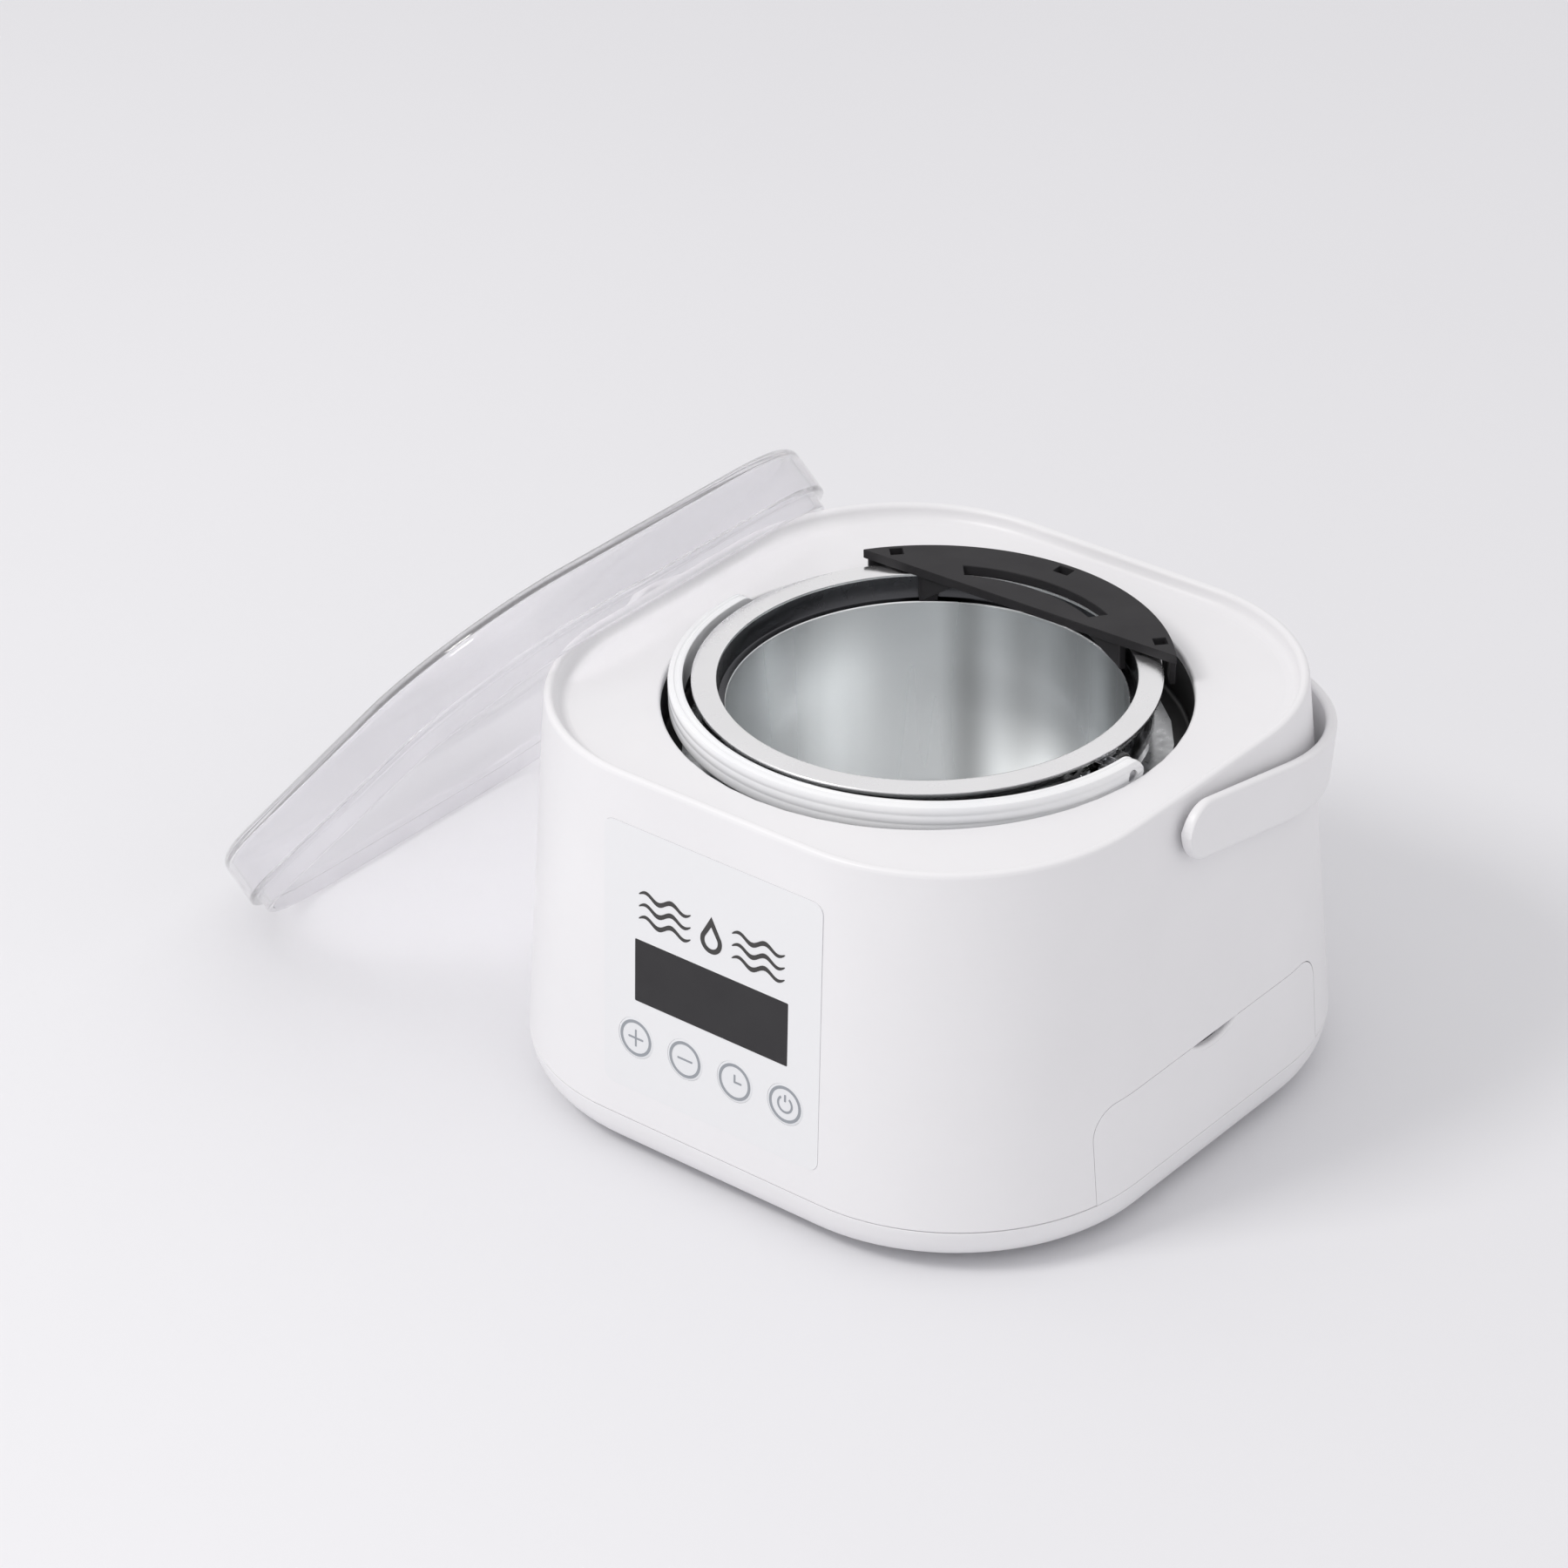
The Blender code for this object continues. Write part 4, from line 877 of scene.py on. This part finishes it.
def make_drawer_front():
    """The side wall's lower part, with a round notch for a thumb in its top edge."""
    sections = [(square_outline(half_width(z)), z) for z in (SEAM_Z + SEAM_GAP, 42)]
    sections += [(square_outline(half_width(z) - DRAWER_WALL), z) for z in (42, SEAM_Z + SEAM_GAP)]
    front = loft("drawer_front_fine", sections, ring=True)
    cut(front, [plate("drawer_blank", drawer_outline(-0.06, SEAM_Z - 2), 0, 40, SIDEWAYS)], "INTERSECT")
    face = half_width(37.5)
    flare = [(0, 60)] + [(NOTCH_R, 60), (NOTCH_R, face - 1.1)]
    flare += [(NOTCH_R + 1.0 * (1 - math.cos(a)), face - 1.1 + 1.1 * math.sin(a))
              for a in (math.radians(15 * i) for i in range(1, 7))]
    flare += [(NOTCH_R + 1.0, 96), (0, 96)]
    lying = Matrix.Translation((0, NOTCH_Y, NOTCH_LOW_Z + NOTCH_R)) @ turned_by("Y", math.pi / 2)
    cut(front, [turned("notch", flare, steps=160, placing=lying)])
    bevelled(front, 0.16, 2, 50)
    finished(front, BODY, [WHITE], "drawer", ["drawer_front"])


def make_drawer_tray():
    """An open box, its front wall raised in the middle to close the notch from behind."""
    inside = TRAY_FRONT_X - TRAY_WALL
    low, high = (TRAY_REAR_X, -TRAY_HALF_Y, TRAY_LOW_Z), (TRAY_FRONT_X, TRAY_HALF_Y, TRAY_HIGH_Z)
    tray = box("drawer_tray_fine", low, high)
    hollow_low = (TRAY_REAR_X + TRAY_WALL, TRAY_WALL - TRAY_HALF_Y, TRAY_LOW_Z + TRAY_WALL)
    cut(tray, [box("hollow", hollow_low, (inside, TRAY_HALF_Y - TRAY_WALL, TRAY_HIGH_Z + 5))])
    outline = rounded_rectangle(13, 4, 2.5, 6, (0, 34.6))
    backing = plate("backing", outline, inside, TRAY_FRONT_X, turned_by("Z", -math.pi / 2))
    cut(tray, [backing], "UNION")
    bevelled(tray, 0.4, 2, 50)
    finished(tray, BODY, [WHITE_INSIDE], "drawer", ["drawer_tray"])


# ---------------------------------------------------------------- pot


def make_pot():
    """The lift-out pot in one turned profile, from the middle of its floor up, over the flange and down."""
    inner = POT_R - POT_WALL
    neck = NECK_R - POT_WALL
    lip = FLANGE_Z - FLANGE_DOME
    middle = (neck + FLANGE_R) / 2
    half = (FLANGE_R - neck) / 2
    floor_z = POT_Z + POT_WALL
    fillet = 6.0
    floor = [(0, floor_z), (20, floor_z), (inner - fillet - 0.4, floor_z)]
    corner = arc((inner - fillet, floor_z + fillet), fillet, -90, 0, 14)
    wall = [(inner, floor_z + 25), (inner, NECK_Z - 0.4)]
    wall += arc((inner + 0.4, NECK_Z - 0.4), 0.4, 180, 90, 4)[1:]
    step = [(neck - 0.3, NECK_Z), (neck, NECK_Z + 0.3), (neck, lip - 0.6)]
    roll = arc((middle, lip), half, 180, 0, 28, FLANGE_DOME / half)
    under = [(FLANGE_R, lip - 0.9), (FLANGE_R - 0.3, lip - 1.2), (FLANGE_R - 1.0, lip - 1.2)]
    under += [(FLANGE_R - 1.0, lip - 0.7), (NECK_R, lip - 0.7), (NECK_R, NECK_Z - 1.2), (POT_R, NECK_Z - 1.6)]
    below = arc((POT_R - 7, POT_Z + 7), 7, 0, -90, 12) + [(0, POT_Z)]
    pot = turned("wax_pot_fine", floor + corner + wall + step + roll + under + below)
    materials = [BOWL, BOWL_FLOOR, CHROME, NECK]
    pot = finished(pot, POT, materials, "pot", ["wax_pot"], sharp=50, weighted=False)
    for face in pot.data.polygons:
        z = face.center.z / MM
        radius = math.hypot(face.center.x / MM - BODY_AT.x, face.center.y / MM - BODY_AT.y)
        if radius < inner - fillet and z < floor_z + 0.5:
            face.material_index = materials.index(BOWL_FLOOR)
        elif z > lip - 0.7:
            face.material_index = materials.index(CHROME)
        elif NECK_Z - 0.05 < z and radius < neck + 0.1:
            face.material_index = materials.index(NECK)
    return pot


def make_collar():
    """The clear collar under the flange, with two ears that the pot's handle turns on."""
    profile = [(56.4, 106.2), (56.6, 106), (56.6, 96.5), (54, 96.5), (54, 106.2)]
    collar = turned("pot_collar_fine", profile, closed=True, steps=144)
    ears, bores = [], []
    for sign in (-1, 1):
        x0, x1 = sorted((sign * 55.4, sign * (BAIL_INNER_X - 0.5)))
        ears.append(bevelled(box("ear", (x0, -5, 100.9), (x1, 5, 108.3)), 1.2, 4))
        inner_end, outer_end = (sign * 57.5, 0, BAIL_PIVOT_Z), (sign * 70, 0, BAIL_PIVOT_Z)
        bores.append(rod("ear_bore", BAIL_BORE_R, inner_end, outer_end, 32))
    cut(collar, ears, "UNION")
    cut(collar, bores)
    return finished(collar, POT, [COLLAR_CLEAR], "pot", ["pot_collar"])


def bail_section(half):
    """Outer face ridged, edges rounded, scaled to the strap's height at this point."""
    scale = half / BAIL_HALF_HEIGHT
    outer = BAIL_THICK / 2
    ridges = [(outer - 0.9, -4.0), (outer - 0.25, -3.7), (outer, -3.1), (outer, -1.6), (outer - 0.2, -1.2),
              (outer - 0.2, -0.7), (outer, -0.3), (outer, 0.8), (outer - 0.2, 1.2), (outer - 0.2, 1.7),
              (outer, 2.1), (outer, 3.1), (outer - 0.25, 3.7), (outer - 0.9, 4.0)]
    back = [(0.4, 4.0), (0.1, 3.75), (-0.5, 3.75), (-0.8, 4.0), (-outer + 0.5, 4.0), (-outer + 0.12, 3.8),
            (-outer, 3.3), (-outer, -3.3), (-outer + 0.12, -3.8), (-outer + 0.5, -4.0)]
    return [(d, z * scale) for d, z in ridges + back]


def make_bail():
    """The pot's handle: a milky strap folded down round the pot's front half."""
    reach = BAIL_INNER_X + BAIL_THICK / 2
    squash = (BAIL_INNER_Y + BAIL_THICK / 2) / reach
    tips = pill_end(BAIL_HALF_HEIGHT, BAIL_HALF_HEIGHT, 10)
    around_pot = arc((0, 0), reach, -180, 0, 120, squash)
    path = [(-reach, beyond) for beyond, _ in tips] + around_pot
    path += [(reach, beyond) for beyond, _ in reversed(tips)]
    heights = [height for _, height in tips]
    heights += [BAIL_HALF_HEIGHT] * len(around_pot) + heights[::-1]
    bail = strap("pot_handle_fine", path, heights, bail_section)
    cut(bail, [rod("bore", BAIL_BORE_R, (sign * 58, 0, 0), (sign * 70, 0, 0), 32) for sign in (-1, 1)])
    placing = POT @ Matrix.Translation((0, 0, BAIL_PIVOT_Z))
    return finished(bail, placing, [BAIL], "pot_handle", ["pot_handle"])


def flat_plate(name, outline, z_low, z_high):
    """An outline seen from above, extruded along Z."""
    bm = bmesh.new()
    face = bm.faces.new([bm.verts.new((x, y, z_low)) for x, y in outline])
    grown = bmesh.ops.extrude_face_region(bm, geom=[face])["geom"]
    moved = [v for v in grown if isinstance(v, bmesh.types.BMVert)]
    bmesh.ops.translate(bm, verts=moved, vec=(0, 0, z_high - z_low))
    return raw(name, bm)


def around(angle, radius):
    """A place at a bearing in degrees and a radius, its X pointing outwards."""
    turn = math.radians(angle)
    return Matrix.Translation((radius * math.cos(turn), radius * math.sin(turn), 0)) @ turned_by("Z", turn)


def make_spatula_rest():
    """A segment-shaped plate with a slot and three holes, its legs inside and outside the pot's flange."""
    edge = math.degrees(math.asin(REST_CHORD_Y / REST_R))
    rest = flat_plate("spatula_rest_fine", arc((0, 0), REST_R, edge, 180 - edge, 72), 0, REST_THICK)
    slot = arc((0, 0), 51.4, 64, 116, 36) + arc((0, 0), 46.5, 114.5, 65.5, 36)
    cutters = [flat_plate("rest_slot", slot, -2, 5)]
    cutters += [box("hole", (-1.7, -half, -2), (1.7, half, 5), around(angle, REST_HOLE_RADIUS))
                for angle, half in REST_HOLES]
    cut(rest, cutters)
    bevelled(rest, 0.25, 3)
    legs = []
    for angle, radius, deep in REST_LEGS:
        leg = box("leg", (-0.75, -2.4, -deep), (0.75, 2.4, 1.3), around(angle, radius))
        legs.append(bevelled(leg, 0.2, 2))
    for side in (-1, 1):
        corners = [(side * x, z) for x, z in REST_BRACE]
        legs.append(bevelled(plate("brace", corners, 39.4, 40.8), 0.2, 2))
    cut(rest, legs, "UNION")
    placing = POT @ Matrix.Translation((0, 0, REST_Z)) @ turned_by("Z", REST_YAW)
    return finished(rest, placing, [BLACK], "spatula_rest", ["spatula_rest"])


# ---------------------------------------------------------------- lid and carry handle


def make_lid():
    """The lid in one skin: over its top, round its skirt and stepped-in plug, and back under its top."""
    within = LID_PLUG_INSET + 1.8
    rows = softened([(7.0, 0.0), (2.6, 0.35), (0.9, 1.3), (0.15, 2.6), (0.0, 4.0)])
    rows += [(0.0, 8.0), (0.0, LID_SKIRT - 0.7), (0.15, LID_SKIRT - 0.2), (0.5, LID_SKIRT)]
    rows += [(LID_PLUG_INSET - 0.2, LID_SKIRT), (LID_PLUG_INSET, LID_SKIRT + 0.2)]
    rows += [(LID_PLUG_INSET, LID_DROP - 0.6), (LID_PLUG_INSET + 0.15, LID_DROP - 0.2)]
    rows += [(LID_PLUG_INSET + 0.6, LID_DROP), (within - 0.3, LID_DROP), (within, LID_DROP - 0.3)]
    rows += [(within, LID_SKIRT - 1.0), (within - 0.4, LID_SKIRT - 1.5), (2.2, LID_SKIRT - 2.0)]
    rows += [(2.0, LID_SKIRT - 2.6)]
    rows += softened([(2.0, 4.0), (2.9, 2.6), (7.0, 1.9)])
    sections = [(square_outline(LID_HALF - inset, LID_CORNER_R - inset), -depth) for inset, depth in rows]
    lid = loft("lid_fine", sections)
    return finished(lid, LID, [LID_CLEAR], "lid", ["lid"], sharp=50)


def handle_section(half):
    radius = min(1.2, half * 0.6, HANDLE_THICK * 0.45)
    return rounded_rectangle(HANDLE_THICK / 2, half, radius, 5)


def make_handle():
    """The carry handle: a strap from one side's pivot round the back to the other's."""
    middle = HANDLE_HALF - HANDLE_THICK / 2
    reach = HANDLE_REACH - HANDLE_THICK / 2
    radius = HANDLE_CORNER_R - HANDLE_THICK / 2
    tips = pill_end(HANDLE_HALF_HEIGHT, HANDLE_HALF_HEIGHT, 14)
    right = [(middle, -beyond) for beyond, _ in tips] + [(middle, 0), (middle, 20)]
    right += arc((middle - radius, reach - radius), radius, 0, 90, 48)
    heights = [height for _, height in tips] + [HANDLE_HALF_HEIGHT] * (2 + 49)
    path = right + [(-x, y) for x, y in reversed(right)]
    handle = strap("carry_handle_fine", path, heights + heights[::-1], handle_section)
    cut(handle, [rod("bore", HANDLE_BORE_R, (sign * 80, 0, 0), (sign * 88.5, 0, 0), 48) for sign in (-1, 1)])
    return finished(handle, HANDLE, [WHITE], "carry_handle", ["carry_handle"])


# ---------------------------------------------------------------- carried-over nodes

CARRIED = {
    RUBBER: ["foot_front_left", "foot_rear_left", "foot_front_right", "foot_rear_right"],
    ZINC: ["base_screw_front_left", "base_screw_rear_left", "base_screw_front_right", "base_screw_rear_right",
           "carry_handle_pin_left", "carry_handle_pin_right", "pot_handle_pin_left", "pot_handle_pin_right",
           "thermal_fuse"],
    ALUMINIUM: ["heating_cup", "heat_shield"],
    MICA: ["heater_band", "transformer"],
    WRAP: ["insulation_sleeve"],
    BOARD: ["power_board", "control_board"],
    BLACK_PART: ["temperature_sensor", "relay", "capacitor", "power_inlet", "display_module", "switch_plus",
                 "switch_minus", "switch_timer", "switch_power"],
    BRASS: ["inlet_pin_left", "inlet_pin_right"],
    WIRE: ["heater_lead_front", "heater_lead_rear", "inlet_lead", "control_lead"],
    WHITE_INSIDE: ["drawer_runner_front", "drawer_runner_rear"],
}


def dress_carried():
    """Gives the nodes that stay as the CAD made them their materials."""
    for material, names in CARRIED.items():
        for name in names:
            node = NODES[name]
            node.data.materials.clear()
            node.data.materials.append(material)


# ---------------------------------------------------------------- assembly

make_camera()
make_studio()
make_floor()
make_shell()
make_base()
make_liner()
make_panel()
make_keys()
make_mark()
make_drawer_front()
make_drawer_tray()
make_pot()
make_collar()
make_bail()
make_spatula_rest()
make_lid()
make_handle()
dress_carried()

bpy.context.view_layer.update()
